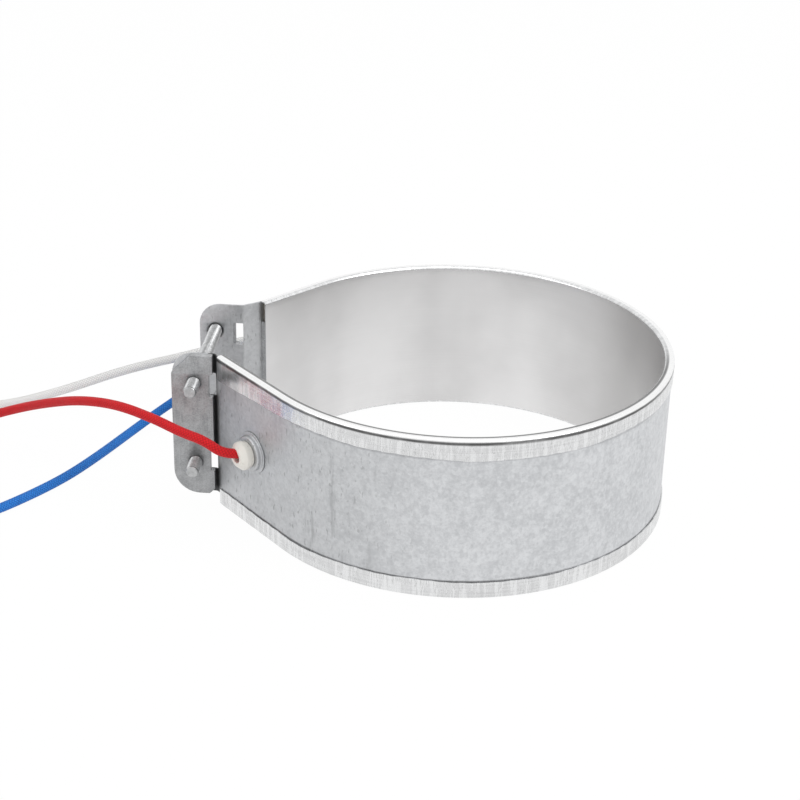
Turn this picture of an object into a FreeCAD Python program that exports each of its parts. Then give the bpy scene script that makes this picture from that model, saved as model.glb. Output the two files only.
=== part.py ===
import FreeCAD, Part
import math
import os

import Sketcher
from FreeCAD import Placement, Rotation, Vector

# Mica band heater, 150 mm bore by 60 mm wide, sprung open and held by two clamp screws.
# The bore axis is Z, the origin lies on it in the plane of the lower rim, and the split faces -X.
# "near" is the end on the -Y side of the split, "far" the end on its +Y side. Millimetres.

doc = FreeCAD.newDocument("BandHeater")
sheet = doc.addObject("Spreadsheet::Sheet", "Sizes")

SIZES = {
    # the band as a whole
    "bore_radius": 75.0,
    "band_width": 60.5,
    "tangent_angle": 138.25,
    # thicknesses of what the band is made of, from the bore outwards
    "sheath_gauge": 0.45,
    "mica_gauge": 0.4,
    "core_gauge": 0.5,
    "ribbon_gauge": 0.15,
    "jacket_gauge": 0.55,
    "layer_gap": 0.08,
    "channel_gap": 0.3,
    # the inner sheath's rolled rims and its two ends
    "rim_bend": 0.9,
    "upper_flange": 7.2,
    "lower_flange": 6.4,
    "near_sheath_length": 40.3,
    "far_sheath_length": 28.8,
    "end_tab_inset": 1.0,
    "pack_inset": 1.2,
    "pack_side_gap": 0.6,
    "ear_relief": 0.5,
    # the winding
    "ribbon_width": 2.6,
    "turn_pitch": 8.0,
    "core_side_inset": 3.0,
    "near_winding_length": 22.0,
    "far_winding_length": 26.0,
    # the jacket's ears and their plates
    "near_ear_offset": 19.5,
    "far_ear_offset": 25.4,
    "near_ear_tip": 102.2,
    "far_ear_tip": 100.1,
    "ear_bend": 1.6,
    "leaf_start": 29.6,
    "leaf_kick": 12.0,
    "leaf_bend": 6.0,
    "ear_top_drop": 0.1,
    "ear_bottom": 4.6,
    "ear_top_radius": 8.0,
    "ear_bottom_radius": 9.5,
    "plate_gauge": 2.4,
    "plate_width": 15.0,
    "plate_gap": 0.05,
    "plate_chamfer": 7.2,
    "plate_toe": 2.0,
    "window_width": 4.0,
    "window_wrap": 1.1,
    "window_height": 8.8,
    "window_spacing": 30.0,
    "notch_depth": 1.4,
    # the clamp screws
    "screw_radius": 2.5,
    "screw_length": 60.0,
    "screw_setback": 94.1,
    "screw_spacing": 32.0,
    "clamp_rise": 3.25,
    "screw_tip_chamfer": 0.5,
    "head_radius": 4.25,
    "head_height": 5.0,
    "head_chamfer": 0.4,
    "socket_flats": 4.0,
    "socket_depth": 2.5,
    "thread_clearance": 0.06,
    "hole_clearance": 0.25,
    "ear_hole_radius": 3.3,
    "washer_radius": 5.0,
    "washer_gauge": 1.0,
    "seat_gap": 0.02,
    # the ceramic bushes, their crimped collars and the leads
    "bush_rise": 0.75,
    "red_station": 18.5,
    "white_station": 4.0,
    "blue_station": 20.5,
    "lead_radius": 1.8,
    "lead_clearance": 0.2,
    "bush_foot_radius": 5.5,
    "bush_foot_height": 1.2,
    "bush_neck_radius": 4.2,
    "bush_head_radius": 5.3,
    "bush_head_height": 4.8,
    "bush_step_radius": 4.8,
    "bush_step_height": 1.4,
    "bush_nose": 1.9,
    "collar_flange_radius": 7.9,
    "collar_wall_radius": 6.6,
    "collar_gauge": 0.5,
    "collar_height": 2.2,
    "collar_bend": 0.45,
    "terminal_gauge": 0.35,
    "terminal_length": 8.6,
    "terminal_width": 6.0,
    "terminal_round": 1.0,
    "tip_radius": 1.1,
    "tip_length": 8.0,
    # how long each lead is, and the coil that its far part is put away in
    "lead_length": 300.0,
    "exit_run": 13.5,
    "short_exit_run": 11.4,
    "coil_radius": 18.2,
    "coil_layers": 2.0,
    "coil_join_inset": 0.06,
    "coil_tail": 12.0,
}

for row, (alias, size) in enumerate(SIZES.items(), start=1):
    sheet.set(f"A{row}", alias)
    sheet.set(f"B{row}", str(size))
    sheet.setAlias(f"B{row}", alias)
doc.recompute()


def size(formula):
    """The number that a formula in the sheet's aliases comes to."""
    return float(sheet.evalExpression(formula))


def cell(formula):
    """The formula with each alias written as the sheet's own, for setExpression."""
    words = sorted(SIZES, key=len, reverse=True)
    out = ""
    at = 0
    while at < len(formula):
        for word in words:
            if formula.startswith(word, at):
                out += "Sizes." + word
                at += len(word)
                break
        else:
            out += formula[at]
            at += 1
    return out


# Radii of the layers, each built on the one inside it.
SHEATH_OUT = "(bore_radius + sheath_gauge)"
INNER_MICA_IN = f"({SHEATH_OUT} + layer_gap)"
WINDING_IN = f"({INNER_MICA_IN} + mica_gauge + layer_gap)"
CORE_IN = f"({WINDING_IN} + ribbon_gauge + layer_gap)"
CORE_OUT = f"({CORE_IN} + core_gauge)"
WINDING_OUT = f"({CORE_OUT} + layer_gap + ribbon_gauge)"
OUTER_MICA_IN = f"({WINDING_OUT} + layer_gap)"
JACKET_IN = f"({OUTER_MICA_IN} + mica_gauge + layer_gap)"
JACKET_OUT = f"({JACKET_IN} + jacket_gauge)"
FLANGE_IN = f"({JACKET_OUT} + layer_gap)"
FLANGE_OUT = f"({FLANGE_IN} + sheath_gauge)"
JACKET_LOW = "(sheath_gauge + channel_gap)"
JACKET_HIGH = f"(band_width - {JACKET_LOW})"
# heights of the ears' top, of the clamp's middle and of the bushes
EAR_TOP = "(band_width - ear_top_drop)"
CLAMP_MIDDLE = "(band_width / 2 + clamp_rise)"
BUSH_HEIGHT = "(band_width / 2 + bush_rise)"


# ---------------------------------------------------------------------------------------------
# helpers for bodies and sketches


def new_body(label):
    """An empty body whose Label names its file."""
    body = doc.addObject("PartDesign::Body", label)
    body.Label = label
    return body


def new_sketch(body, name, role, height=None):
    """A sketch on one of the body's own origin planes, raised to a height if one is given."""
    sketch = body.newObject("Sketcher::SketchObject", name)
    plane = next(f for f in body.Origin.OriginFeatures if f.Role == role)
    sketch.AttachmentSupport = (plane, "")
    sketch.MapMode = "FlatFace"
    if height is not None:
        sketch.setExpression(".AttachmentOffset.Base.z", cell(height))
    return sketch


def bind(sketch, kind, *where_and_size):
    """Adds a dimension whose last value is a formula in the sheet's aliases."""
    *where, formula = where_and_size
    number = size(formula)
    if abs(number) < 1e-9 and kind in ("DistanceX", "DistanceY"):
        axis = -2 if kind == "DistanceX" else -1
        return sketch.addConstraint(Sketcher.Constraint("PointOnObject", where[2], where[3], axis))
    index = sketch.addConstraint(Sketcher.Constraint(kind, *where, number))
    sketch.setExpression(f"Constraints[{index}]", cell(formula))
    return index


def point_on(sketch, geometry, end, x, y):
    """Fixes an end of a sketch element at formulas for x and y."""
    bind(sketch, "DistanceX", -1, 1, geometry, end, x)
    bind(sketch, "DistanceY", -1, 1, geometry, end, y)


def outline(sketch, corners, rounds=None):
    """A closed outline through corners given as formulas, with a round's radius at some of them."""
    rounds = rounds or {}
    spots = [Vector(size(x), size(y), 0) for x, y in corners]
    count = len(spots)
    starts, ends, arcs = {}, {}, {}
    for i, spot in enumerate(spots):
        before = (spots[i - 1] - spot).normalize()
        after = (spots[(i + 1) % count] - spot).normalize()
        if i in rounds:
            radius = size(rounds[i])
            half = before.getAngle(after) / 2
            reach = radius / math.tan(half)
            ends[i] = spot + before * reach
            starts[i] = spot + after * reach
            middle = spot + (before + after).normalize() * (radius / math.sin(half))
            arcs[i] = (middle, radius)
        else:
            ends[i] = starts[i] = spot
    lines = [
        sketch.addGeometry(Part.LineSegment(starts[i], ends[(i + 1) % count])) for i in range(count)
    ]
    for i, spot in enumerate(spots):
        coming, going = lines[i - 1], lines[i]
        if i not in arcs:
            sketch.addConstraint(Sketcher.Constraint("Coincident", coming, 2, going, 1))
            point_on(sketch, going, 1, *corners[i])
            continue
        middle, radius = arcs[i]
        one, two = ends[i] - middle, starts[i] - middle
        turn = one.cross(two).z
        first, last = (one, two) if turn > 0 else (two, one)
        arc = sketch.addGeometry(
            Part.ArcOfCircle(
                Part.Circle(middle, Vector(0, 0, 1), radius),
                math.atan2(first.y, first.x),
                math.atan2(last.y, last.x),
            )
        )
        joins = (1, 2) if turn > 0 else (2, 1)
        sketch.addConstraint(Sketcher.Constraint("Tangent", coming, 2, arc, joins[0]))
        sketch.addConstraint(Sketcher.Constraint("Tangent", arc, joins[1], going, 1))
        bind(sketch, "Radius", arc, rounds[i])
        corner = sketch.addGeometry(Part.Point(spot), True)
        sketch.addConstraint(Sketcher.Constraint("PointOnObject", corner, 1, coming))
        sketch.addConstraint(Sketcher.Constraint("PointOnObject", corner, 1, going))
        point_on(sketch, corner, 1, *corners[i])


def circle(sketch, x, y, radius):
    """A full circle at formulas for its centre and radius."""
    middle = Vector(size(x), size(y), 0)
    ring = sketch.addGeometry(Part.Circle(middle, Vector(0, 0, 1), size(radius)))
    bind(sketch, "Radius", ring, radius)
    point_on(sketch, ring, 3, x, y)


def pad(body, sketch, length):
    """Pads a sketch by a formula's length along its normal."""
    feature = body.newObject("PartDesign::Pad", "Pad")
    feature.Profile = sketch
    feature.setExpression("Length", cell(length))
    doc.recompute()
    return feature


def pocket(body, sketch, length=None, reverse=False):
    """Cuts a sketch away, through all or by a formula's length, and checks that it cut."""
    before = body.Shape.Volume
    feature = body.newObject("PartDesign::Pocket", "Pocket")
    feature.Profile = sketch
    feature.Reversed = reverse
    if length is None:
        feature.Type = "ThroughAll"
    else:
        feature.setExpression("Length", cell(length))
    doc.recompute()
    if not body.Shape.Volume < before - 1e-3:
        raise ValueError(f"{body.Label}: a pocket cut nothing")
    return feature


def revolve(body, sketch):
    """Turns a sketch in the XZ plane once about Z."""
    axis = next(f for f in body.Origin.OriginFeatures if f.Role == "Z_Axis")
    feature = body.newObject("PartDesign::Revolution", "Revolution")
    feature.Profile = sketch
    feature.ReferenceAxis = (axis, [""])
    feature.Angle = 360
    doc.recompute()
    return feature


def sweep(body, profile, spine):
    """Sweeps a closed section along the band's plan."""
    feature = body.newObject("PartDesign::AdditivePipe", "Sweep")
    feature.Profile = profile
    feature.Spine = (spine, [])
    doc.recompute()
    return feature


# ---------------------------------------------------------------------------------------------
# the band's plan: most of a circle, with a straight run on its tangent at each end


def straight(end):
    """The tangent run's outward normal and its direction away from the circle, for +1 far, -1 near."""
    angle = math.radians(size("tangent_angle"))
    outward = Vector(math.cos(angle), end * math.sin(angle), 0)
    along = Vector(-math.sin(angle), end * math.cos(angle), 0)
    return outward, along


def run_point(end, radius, station):
    """Formulas for a point on a tangent run, at a radius and a distance past the tangent point."""
    x = f"({radius} * cos(tangent_angle) - {station} * sin(tangent_angle))"
    y = f"({end} * ({radius} * sin(tangent_angle) + {station} * cos(tangent_angle)))"
    return x, y


def plan_spine(body, radius, near_length, far_length):
    """A sketch of the plan at a radius: near run, the great arc, far run."""
    sketch = new_sketch(body, "Plan", "XY_Plane")
    near_tip = Vector(*[size(v) for v in run_point(-1, radius, near_length)], 0)
    near_tangent = Vector(*[size(v) for v in run_point(-1, radius, "0")], 0)
    far_tangent = Vector(*[size(v) for v in run_point(1, radius, "0")], 0)
    far_tip = Vector(*[size(v) for v in run_point(1, radius, far_length)], 0)
    near = sketch.addGeometry(Part.LineSegment(near_tip, near_tangent))
    angle = math.radians(size("tangent_angle"))
    ring = Part.Circle(Vector(0, 0, 0), Vector(0, 0, 1), size(radius))
    arc = sketch.addGeometry(Part.ArcOfCircle(ring, -angle, angle))
    far = sketch.addGeometry(Part.LineSegment(far_tangent, far_tip))
    sketch.addConstraint(Sketcher.Constraint("Coincident", arc, 3, -1, 1))
    bind(sketch, "Radius", arc, radius)
    sketch.addConstraint(Sketcher.Constraint("Tangent", near, 2, arc, 1))
    sketch.addConstraint(Sketcher.Constraint("Tangent", arc, 2, far, 1))
    bind(sketch, "DistanceX", -1, 1, arc, 1, run_point(-1, radius, "0")[0])
    bind(sketch, "DistanceX", -1, 1, arc, 2, run_point(1, radius, "0")[0])
    bind(sketch, "Distance", near, near_length)
    bind(sketch, "Distance", far, far_length)
    return sketch


def strip(label, inside, thickness, low, high, inset):
    """A flat strip that follows the plan, such as a layer of mica."""
    body = new_body(label)
    spine = plan_spine(
        body, "bore_radius", f"(near_sheath_length - {inset})", f"(far_sheath_length - {inset})"
    )
    section = new_sketch(body, "Section", "XZ_Plane")
    outside = f"({inside} + {thickness})"
    outline(section, [(inside, low), (outside, low), (outside, high), (inside, high)])
    sweep(body, section, spine)
    return body


def inner_sheath():
    """The bright channel that lines the bore, with both edges rolled over the pack."""
    body = new_body("inner_sheath")
    spine = plan_spine(body, "bore_radius", "near_sheath_length", "far_sheath_length")
    section = new_sketch(body, "Section", "XZ_Plane")
    top_in = "(band_width - sheath_gauge)"
    upper_edge = "(band_width - upper_flange)"
    inner_bend = "(rim_bend - sheath_gauge)"
    corners = [
        ("bore_radius", "0"),
        (FLANGE_OUT, "0"),
        (FLANGE_OUT, "lower_flange"),
        (FLANGE_IN, "lower_flange"),
        (FLANGE_IN, "sheath_gauge"),
        (SHEATH_OUT, "sheath_gauge"),
        (SHEATH_OUT, top_in),
        (FLANGE_IN, top_in),
        (FLANGE_IN, upper_edge),
        (FLANGE_OUT, upper_edge),
        (FLANGE_OUT, "band_width"),
        ("bore_radius", "band_width"),
    ]
    rounds = {0: "rim_bend", 1: "rim_bend", 10: "rim_bend", 11: "rim_bend"}
    rounds.update({4: inner_bend, 5: inner_bend, 6: inner_bend, 7: inner_bend})
    outline(section, corners, rounds)
    sweep(body, section, spine)
    # a tab folded out over the pack's end, between the flanges
    low = "(lower_flange + end_tab_inset)"
    tall = f"(band_width - upper_flange - end_tab_inset - {low})"
    for name, end, length in (("NearTab", -1, "near_sheath_length"), ("FarTab", 1, "far_sheath_length")):
        tab = new_sketch(body, name, "XY_Plane", low)
        back = f"({length} - sheath_gauge)"
        tab_tip = f"({JACKET_IN} - layer_gap)"
        outline(
            tab,
            [
                run_point(end, "bore_radius", back),
                run_point(end, "bore_radius", length),
                run_point(end, tab_tip, length),
                run_point(end, tab_tip, back),
            ],
        )
        pad(body, tab, tall)
    return body


def seat(end, station, rise=0.0):
    """The placement of a bush: its Z is the run's outward normal, its origin on the jacket's face."""
    outward, along = straight(end)
    spot = outward * (size(JACKET_OUT) + rise) + along * size(station)
    spot.z = size(BUSH_HEIGHT)
    level = Vector(0, 0, 1).cross(outward)
    return Placement(spot, Rotation(level, Vector(0, 0, 1), outward, "ZYX"))


BUSHES = {
    "red": (-1, "red_station"),
    "white": (1, "white_station"),
    "blue": (1, "blue_station"),
}


def drilled(label, blank, radius, depth_in, depth_out):
    """A strip with a round hole at each bush, cut from depth_in to depth_out off the jacket's face."""
    blank.Label = label + "_blank"
    tools = []
    for colour, (end, station) in BUSHES.items():
        tool = doc.addObject("Part::Cylinder", f"{label}_{colour}_drill")
        tool.setExpression("Radius", cell(radius))
        tool.setExpression("Height", cell(f"{depth_in} + {depth_out}"))
        tool.Placement = seat(end, station, -size(depth_in))
        tools.append(tool)
    drills = doc.addObject("Part::MultiFuse", label + "_drills")
    drills.Shapes = tools
    cut = doc.addObject("Part::Cut", label)
    cut.Base = blank
    cut.Tool = drills
    cut.Label = label
    doc.recompute()
    return cut


def outer_mica():
    """The outer layer of mica, with a hole for each terminal."""
    side = "(sheath_gauge + pack_side_gap)"
    high = f"(band_width - {side})"
    blank = strip("outer_mica_blank", OUTER_MICA_IN, "mica_gauge", side, high, "pack_inset")
    depth = f"({JACKET_OUT} - {OUTER_MICA_IN} + mica_gauge)"
    return drilled("outer_mica", blank, "bush_foot_radius + hole_clearance", depth, "mica_gauge")


def jacket_spine(body):
    """The jacket's inner face in plan: near ear, bend, run, great arc, run, leaf, bend, far ear."""
    sketch = new_sketch(body, "Plan", "XY_Plane")
    radius = JACKET_IN
    cosine, sine = "cos(tangent_angle)", "sin(tangent_angle)"
    near_station = f"((near_ear_offset - {radius} * {sine}) / {cosine})"
    near_corner = run_point(-1, radius, near_station)
    near_tip = ("(-near_ear_tip)", "(-near_ear_offset)")
    kick_corner = run_point(1, radius, "leaf_start")
    heading = "(tangent_angle - leaf_kick)"
    leaf = f"((far_ear_offset - {kick_corner[1]}) / cos({heading}))"
    far_corner = (f"({kick_corner[0]} - {leaf} * sin({heading}))", "far_ear_offset")
    far_tip = ("(-far_ear_tip)", "far_ear_offset")

    def at(spot):
        return Vector(size(spot[0]), size(spot[1]), 0)

    def bend(before, corner, after, arc_radius):
        """Where a bend of a radius leaves and joins the two lines at a corner, and its centre."""
        back = (before - corner).normalize()
        on = (after - corner).normalize()
        half = back.getAngle(on) / 2
        reach = arc_radius / math.tan(half)
        middle = corner + (back + on).normalize() * (arc_radius / math.sin(half))
        return corner + back * reach, corner + on * reach, middle

    near_tangent = at(run_point(-1, radius, "0"))
    far_tangent = at(run_point(1, radius, "0"))
    inside_bend = "(ear_bend + jacket_gauge)"
    n_out, n_in, n_mid = bend(at(near_tip), at(near_corner), near_tangent, size(inside_bend))
    k_in, k_out, k_mid = bend(far_tangent, at(kick_corner), at(far_corner), size("leaf_bend"))
    f_in, f_out, f_mid = bend(at(kick_corner), at(far_corner), at(far_tip), size(inside_bend))

    def line(a, b):
        return sketch.addGeometry(Part.LineSegment(a, b))

    def arc(middle, a, b):
        """An arc from a to b the short way, and its end numbers at a and b."""
        one, two = a - middle, b - middle
        clockwise = one.cross(two).z < 0
        first, last = (two, one) if clockwise else (one, two)
        ring = Part.Circle(middle, Vector(0, 0, 1), one.Length)
        angles = math.atan2(first.y, first.x), math.atan2(last.y, last.x)
        return sketch.addGeometry(Part.ArcOfCircle(ring, *angles)), (2, 1) if clockwise else (1, 2)

    near_ear = line(at(near_tip), n_out)
    near_bend, near_ends = arc(n_mid, n_out, n_in)
    near_run = line(n_in, near_tangent)
    angle = math.radians(size("tangent_angle"))
    ring = Part.Circle(Vector(0, 0, 0), Vector(0, 0, 1), size(radius))
    great = sketch.addGeometry(Part.ArcOfCircle(ring, -angle, angle))
    far_run = line(far_tangent, k_in)
    kick, kick_ends = arc(k_mid, k_in, k_out)
    leaf_line = line(k_out, f_in)
    far_bend, far_ends = arc(f_mid, f_in, f_out)
    far_ear = line(f_out, at(far_tip))

    def tangent(a, a_end, b, b_end):
        sketch.addConstraint(Sketcher.Constraint("Tangent", a, a_end, b, b_end))

    tangent(near_ear, 2, near_bend, near_ends[0])
    tangent(near_bend, near_ends[1], near_run, 1)
    tangent(near_run, 2, great, 1)
    tangent(great, 2, far_run, 1)
    tangent(far_run, 2, kick, kick_ends[0])
    tangent(kick, kick_ends[1], leaf_line, 1)
    tangent(leaf_line, 2, far_bend, far_ends[0])
    tangent(far_bend, far_ends[1], far_ear, 1)
    sketch.addConstraint(Sketcher.Constraint("Coincident", great, 3, -1, 1))
    bind(sketch, "Radius", great, radius)
    bind(sketch, "Radius", near_bend, inside_bend)
    bind(sketch, "Radius", far_bend, inside_bend)
    bind(sketch, "Radius", kick, "leaf_bend")
    bind(sketch, "DistanceX", -1, 1, great, 1, run_point(-1, radius, "0")[0])
    bind(sketch, "DistanceX", -1, 1, great, 2, run_point(1, radius, "0")[0])
    sketch.addConstraint(Sketcher.Constraint("Horizontal", near_ear))
    sketch.addConstraint(Sketcher.Constraint("Horizontal", far_ear))
    point_on(sketch, near_ear, 1, *near_tip)
    point_on(sketch, far_ear, 2, *far_tip)
    for spot in (kick_corner, far_corner):
        corner = sketch.addGeometry(Part.Point(at(spot)), True)
        sketch.addConstraint(Sketcher.Constraint("PointOnObject", corner, 1, leaf_line))
        point_on(sketch, corner, 1, *spot)
    return near_corner[0], far_corner[0]


def near_and_far(sketch, side, corner_x):
    """Draws the waste round one ear, its two windows and its two screw holes on its pocket's sketch."""
    tip = "near_ear_tip" if side < 0 else "far_ear_tip"
    length = "near_sheath_length" if side < 0 else "far_sheath_length"
    wrap = "window_wrap" if side < 0 else "0"
    inner = run_point(side, JACKET_OUT, f"({length} + ear_relief)")[0]
    left = f"(-{tip})"
    clear = f"(-{tip} - ear_bend)"
    over = f"({EAR_TOP} + ear_bend)"
    corners = [
        (inner, "(-ear_bend)"),
        (inner, "ear_bottom"),
        (left, "ear_bottom"),
        (left, EAR_TOP),
        (inner, EAR_TOP),
        (inner, over),
        (clear, over),
        (clear, "(-ear_bend)"),
    ]
    outline(sketch, corners, {2: "ear_bottom_radius", 3: "ear_top_radius"})
    for sign in (-1, 1):
        middle = f"({CLAMP_MIDDLE} + {sign} * window_spacing / 2)"
        low = f"({middle} - window_height / 2)"
        high = f"({middle} + window_height / 2)"
        out_x = f"({corner_x} - window_width)"
        in_x = f"({corner_x} + {wrap})"
        outline(sketch, [(out_x, low), (in_x, low), (in_x, high), (out_x, high)])
        circle(sketch, "(-screw_setback)", screw_height(sign), "ear_hole_radius")


def screw_height(sign):
    """The formula for the height of the lower (-1) or upper (+1) screw."""
    return f"({CLAMP_MIDDLE} + {sign} * screw_spacing / 2)"


def outer_jacket():
    """The galvanised outer sheet, whose ends leave the channel and fold out as the two ears."""
    body = new_body("outer_jacket_blank")
    spine_corners = jacket_spine(body)
    plan = body.Group[-1]
    section = new_sketch(body, "Section", "XZ_Plane")
    outline(
        section,
        [
            (JACKET_IN, JACKET_LOW),
            (JACKET_OUT, JACKET_LOW),
            (JACKET_OUT, EAR_TOP),
            (JACKET_IN, EAR_TOP),
        ],
    )
    sweep(body, section, plan)
    # inside the channel the sheet is narrower than its ears
    channel = new_sketch(body, "ChannelPart", "XY_Plane", JACKET_HIGH)
    inside, outside = "(bore_radius - plate_gauge)", f"({FLANGE_OUT} + plate_gauge)"
    far_out = f"({FLANGE_OUT} + ear_top_radius)"
    near_end = "(near_sheath_length + ear_relief)"
    far_end = "(far_sheath_length + ear_relief)"
    outline(
        channel,
        [
            run_point(-1, inside, near_end),
            run_point(-1, outside, near_end),
            (f"(-{far_out})", f"(-{far_out})"),
            (far_out, f"(-{far_out})"),
            (far_out, far_out),
            (f"(-{far_out})", far_out),
            run_point(1, outside, far_end),
            run_point(1, inside, far_end),
        ],
    )
    pocket(body, channel, reverse=True)
    for side, corner_x in zip((-1, 1), spine_corners):
        ear = new_sketch(body, "NearEar" if side < 0 else "FarEar", "XZ_Plane")
        near_and_far(ear, side, corner_x)
        pocket(body, ear, reverse=side < 0)
    return drilled("outer_jacket", body, "bush_foot_radius + hole_clearance", "2 * jacket_gauge", "jacket_gauge")


def clamp_plate(label, side):
    """The thick plate behind an ear: the near one is tapped, the far one takes the screw heads."""
    tip = "near_ear_tip" if side < 0 else "far_ear_tip"
    offset = "near_ear_offset" if side < 0 else "far_ear_offset"
    hole = "(screw_radius + thread_clearance)" if side < 0 else "(screw_radius + hole_clearance)"
    body = new_body(label)
    face = new_sketch(body, "Face", "XZ_Plane")
    left, right = f"(-{tip})", f"(plate_width - {tip})"
    notch = f"({right} - notch_depth)"
    corners = [(left, "ear_bottom"), (f"({right} - plate_toe)", "ear_bottom")]
    corners.append((right, "(ear_bottom + plate_toe)"))
    for sign in (-1, 1):
        middle = f"({CLAMP_MIDDLE} + {sign} * window_spacing / 2)"
        low = f"({middle} - window_height / 2)"
        high = f"({middle} + window_height / 2)"
        corners += [(right, low), (notch, low), (notch, high), (right, high)]
    corners += [(right, EAR_TOP), (f"({left} + plate_chamfer)", EAR_TOP)]
    corners.append((left, f"({EAR_TOP} - plate_chamfer)"))
    outline(face, corners, {0: "ear_bottom_radius"})
    for sign in (-1, 1):
        circle(face, "(-screw_setback)", screw_height(sign), hole)
    plate = pad(body, face, "plate_gauge")
    plate.Reversed = side > 0
    body.Placement.Base.y = side * size(f"{offset} + jacket_gauge + plate_gap")
    doc.recompute()
    return body


ALONG_Y = Rotation(Vector(1, 0, 0), -90)
WASHER_SEAT = "(far_ear_offset + jacket_gauge + plate_gap + plate_gauge + seat_gap)"
HEAD_SEAT = f"({WASHER_SEAT} + washer_gauge + seat_gap)"


def clamp_screw(label, sign):
    """A socket cap screw along Y, its head outside the far ear and its tip through the near plate."""
    body = new_body(label)
    half = new_sketch(body, "HalfSection", "XZ_Plane")
    tip = "(-screw_length)"
    outline(
        half,
        [
            ("0", tip),
            ("(screw_radius - screw_tip_chamfer)", tip),
            ("screw_radius", f"({tip} + screw_tip_chamfer)"),
            ("screw_radius", "0"),
            ("head_radius", "0"),
            ("head_radius", "(head_height - head_chamfer)"),
            ("(head_radius - head_chamfer)", "head_height"),
            ("0", "head_height"),
        ],
    )
    revolve(body, half)
    hexagon = new_sketch(body, "Socket", "XY_Plane", "head_height")
    reach = "(socket_flats / 2 / cos(30))"
    turns = range(0, 360, 60)
    outline(hexagon, [(f"({reach} * cos({a}))", f"({reach} * sin({a}))") for a in turns])
    pocket(body, hexagon, "socket_depth")
    body.Placement = Placement(
        Vector(-size("screw_setback"), size(HEAD_SEAT), size(screw_height(sign))), ALONG_Y
    )
    return body


def washer(label, sign):
    """A plain washer between the far plate and a screw's head."""
    body = new_body(label)
    ring = new_sketch(body, "Ring", "XY_Plane")
    circle(ring, "0", "0", "washer_radius")
    circle(ring, "0", "0", "(screw_radius + hole_clearance)")
    pad(body, ring, "washer_gauge")
    body.Placement = Placement(
        Vector(-size("screw_setback"), size(WASHER_SEAT), size(screw_height(sign))), ALONG_Y
    )
    return body


BUSH_FOOT_TOP = "(collar_height - collar_gauge - layer_gap)"
BUSH_HEAD_LOW = "(collar_height + layer_gap)"
TERMINAL_LOW = f"({OUTER_MICA_IN} - {JACKET_OUT})"
LEAD_START = f"({TERMINAL_LOW} + terminal_gauge)"


def ceramic_bush(label, end, station):
    """The ceramic bush that a lead leaves by: a foot held in the collar, a neck and a nosed head."""
    body = new_body(label)
    half = new_sketch(body, "HalfSection", "XZ_Plane")
    bore = "(lead_radius + lead_clearance)"
    foot_low = f"({BUSH_FOOT_TOP} - bush_foot_height)"
    step_top = f"({BUSH_HEAD_LOW} + bush_step_height)"
    face = f"({BUSH_HEAD_LOW} + bush_head_height)"
    outline(
        half,
        [
            (bore, foot_low),
            ("bush_foot_radius", foot_low),
            ("bush_foot_radius", BUSH_FOOT_TOP),
            ("bush_neck_radius", BUSH_FOOT_TOP),
            ("bush_neck_radius", BUSH_HEAD_LOW),
            ("bush_step_radius", BUSH_HEAD_LOW),
            ("bush_step_radius", step_top),
            ("bush_head_radius", step_top),
            ("bush_head_radius", f"({face} - bush_nose)"),
            ("(bush_head_radius - bush_nose)", face),
            (bore, face),
        ],
    )
    revolve(body, half)
    body.Placement = seat(end, station)
    return body


def bush_collar(label, end, station):
    """The pressed cup that holds a bush's foot on the jacket, with a flange and a rolled shoulder."""
    body = new_body(label)
    half = new_sketch(body, "HalfSection", "XZ_Plane")
    wall_in = "(collar_wall_radius - collar_gauge)"
    mouth = "(bush_neck_radius + lead_clearance)"
    flange_top = "(seat_gap + collar_gauge)"
    outline(
        half,
        [
            (wall_in, "seat_gap"),
            ("collar_flange_radius", "seat_gap"),
            ("collar_flange_radius", flange_top),
            ("collar_wall_radius", flange_top),
            ("collar_wall_radius", "collar_height"),
            (mouth, "collar_height"),
            (mouth, "(collar_height - collar_gauge)"),
            (wall_in, "(collar_height - collar_gauge)"),
        ],
        {3: "collar_bend", 4: "(collar_bend + collar_gauge / 2)", 7: "(collar_bend / 2)"},
    )
    revolve(body, half)
    body.Placement = seat(end, station)
    return body


def terminal(label, end, station):
    """The flat terminal on the winding that a lead's conductor is joined to."""
    body = new_body(label)
    face = new_sketch(body, "Face", "XY_Plane")
    half_length, half_width = "(terminal_length / 2)", "(terminal_width / 2)"
    outline(
        face,
        [
            (f"(-{half_length})", f"(-{half_width})"),
            (half_length, f"(-{half_width})"),
            (half_length, half_width),
            (f"(-{half_length})", half_width),
        ],
        {i: "terminal_round" for i in range(4)},
    )
    pad(body, face, "terminal_gauge")
    body.Placement = seat(end, station, size(TERMINAL_LOW))
    return body


def shaped(label, shape):
    """A sub-part whose shape is worked out here rather than by a feature."""
    feature = doc.addObject("Part::Feature", label)
    feature.Label = label
    feature.Shape = shape
    return feature


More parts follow.
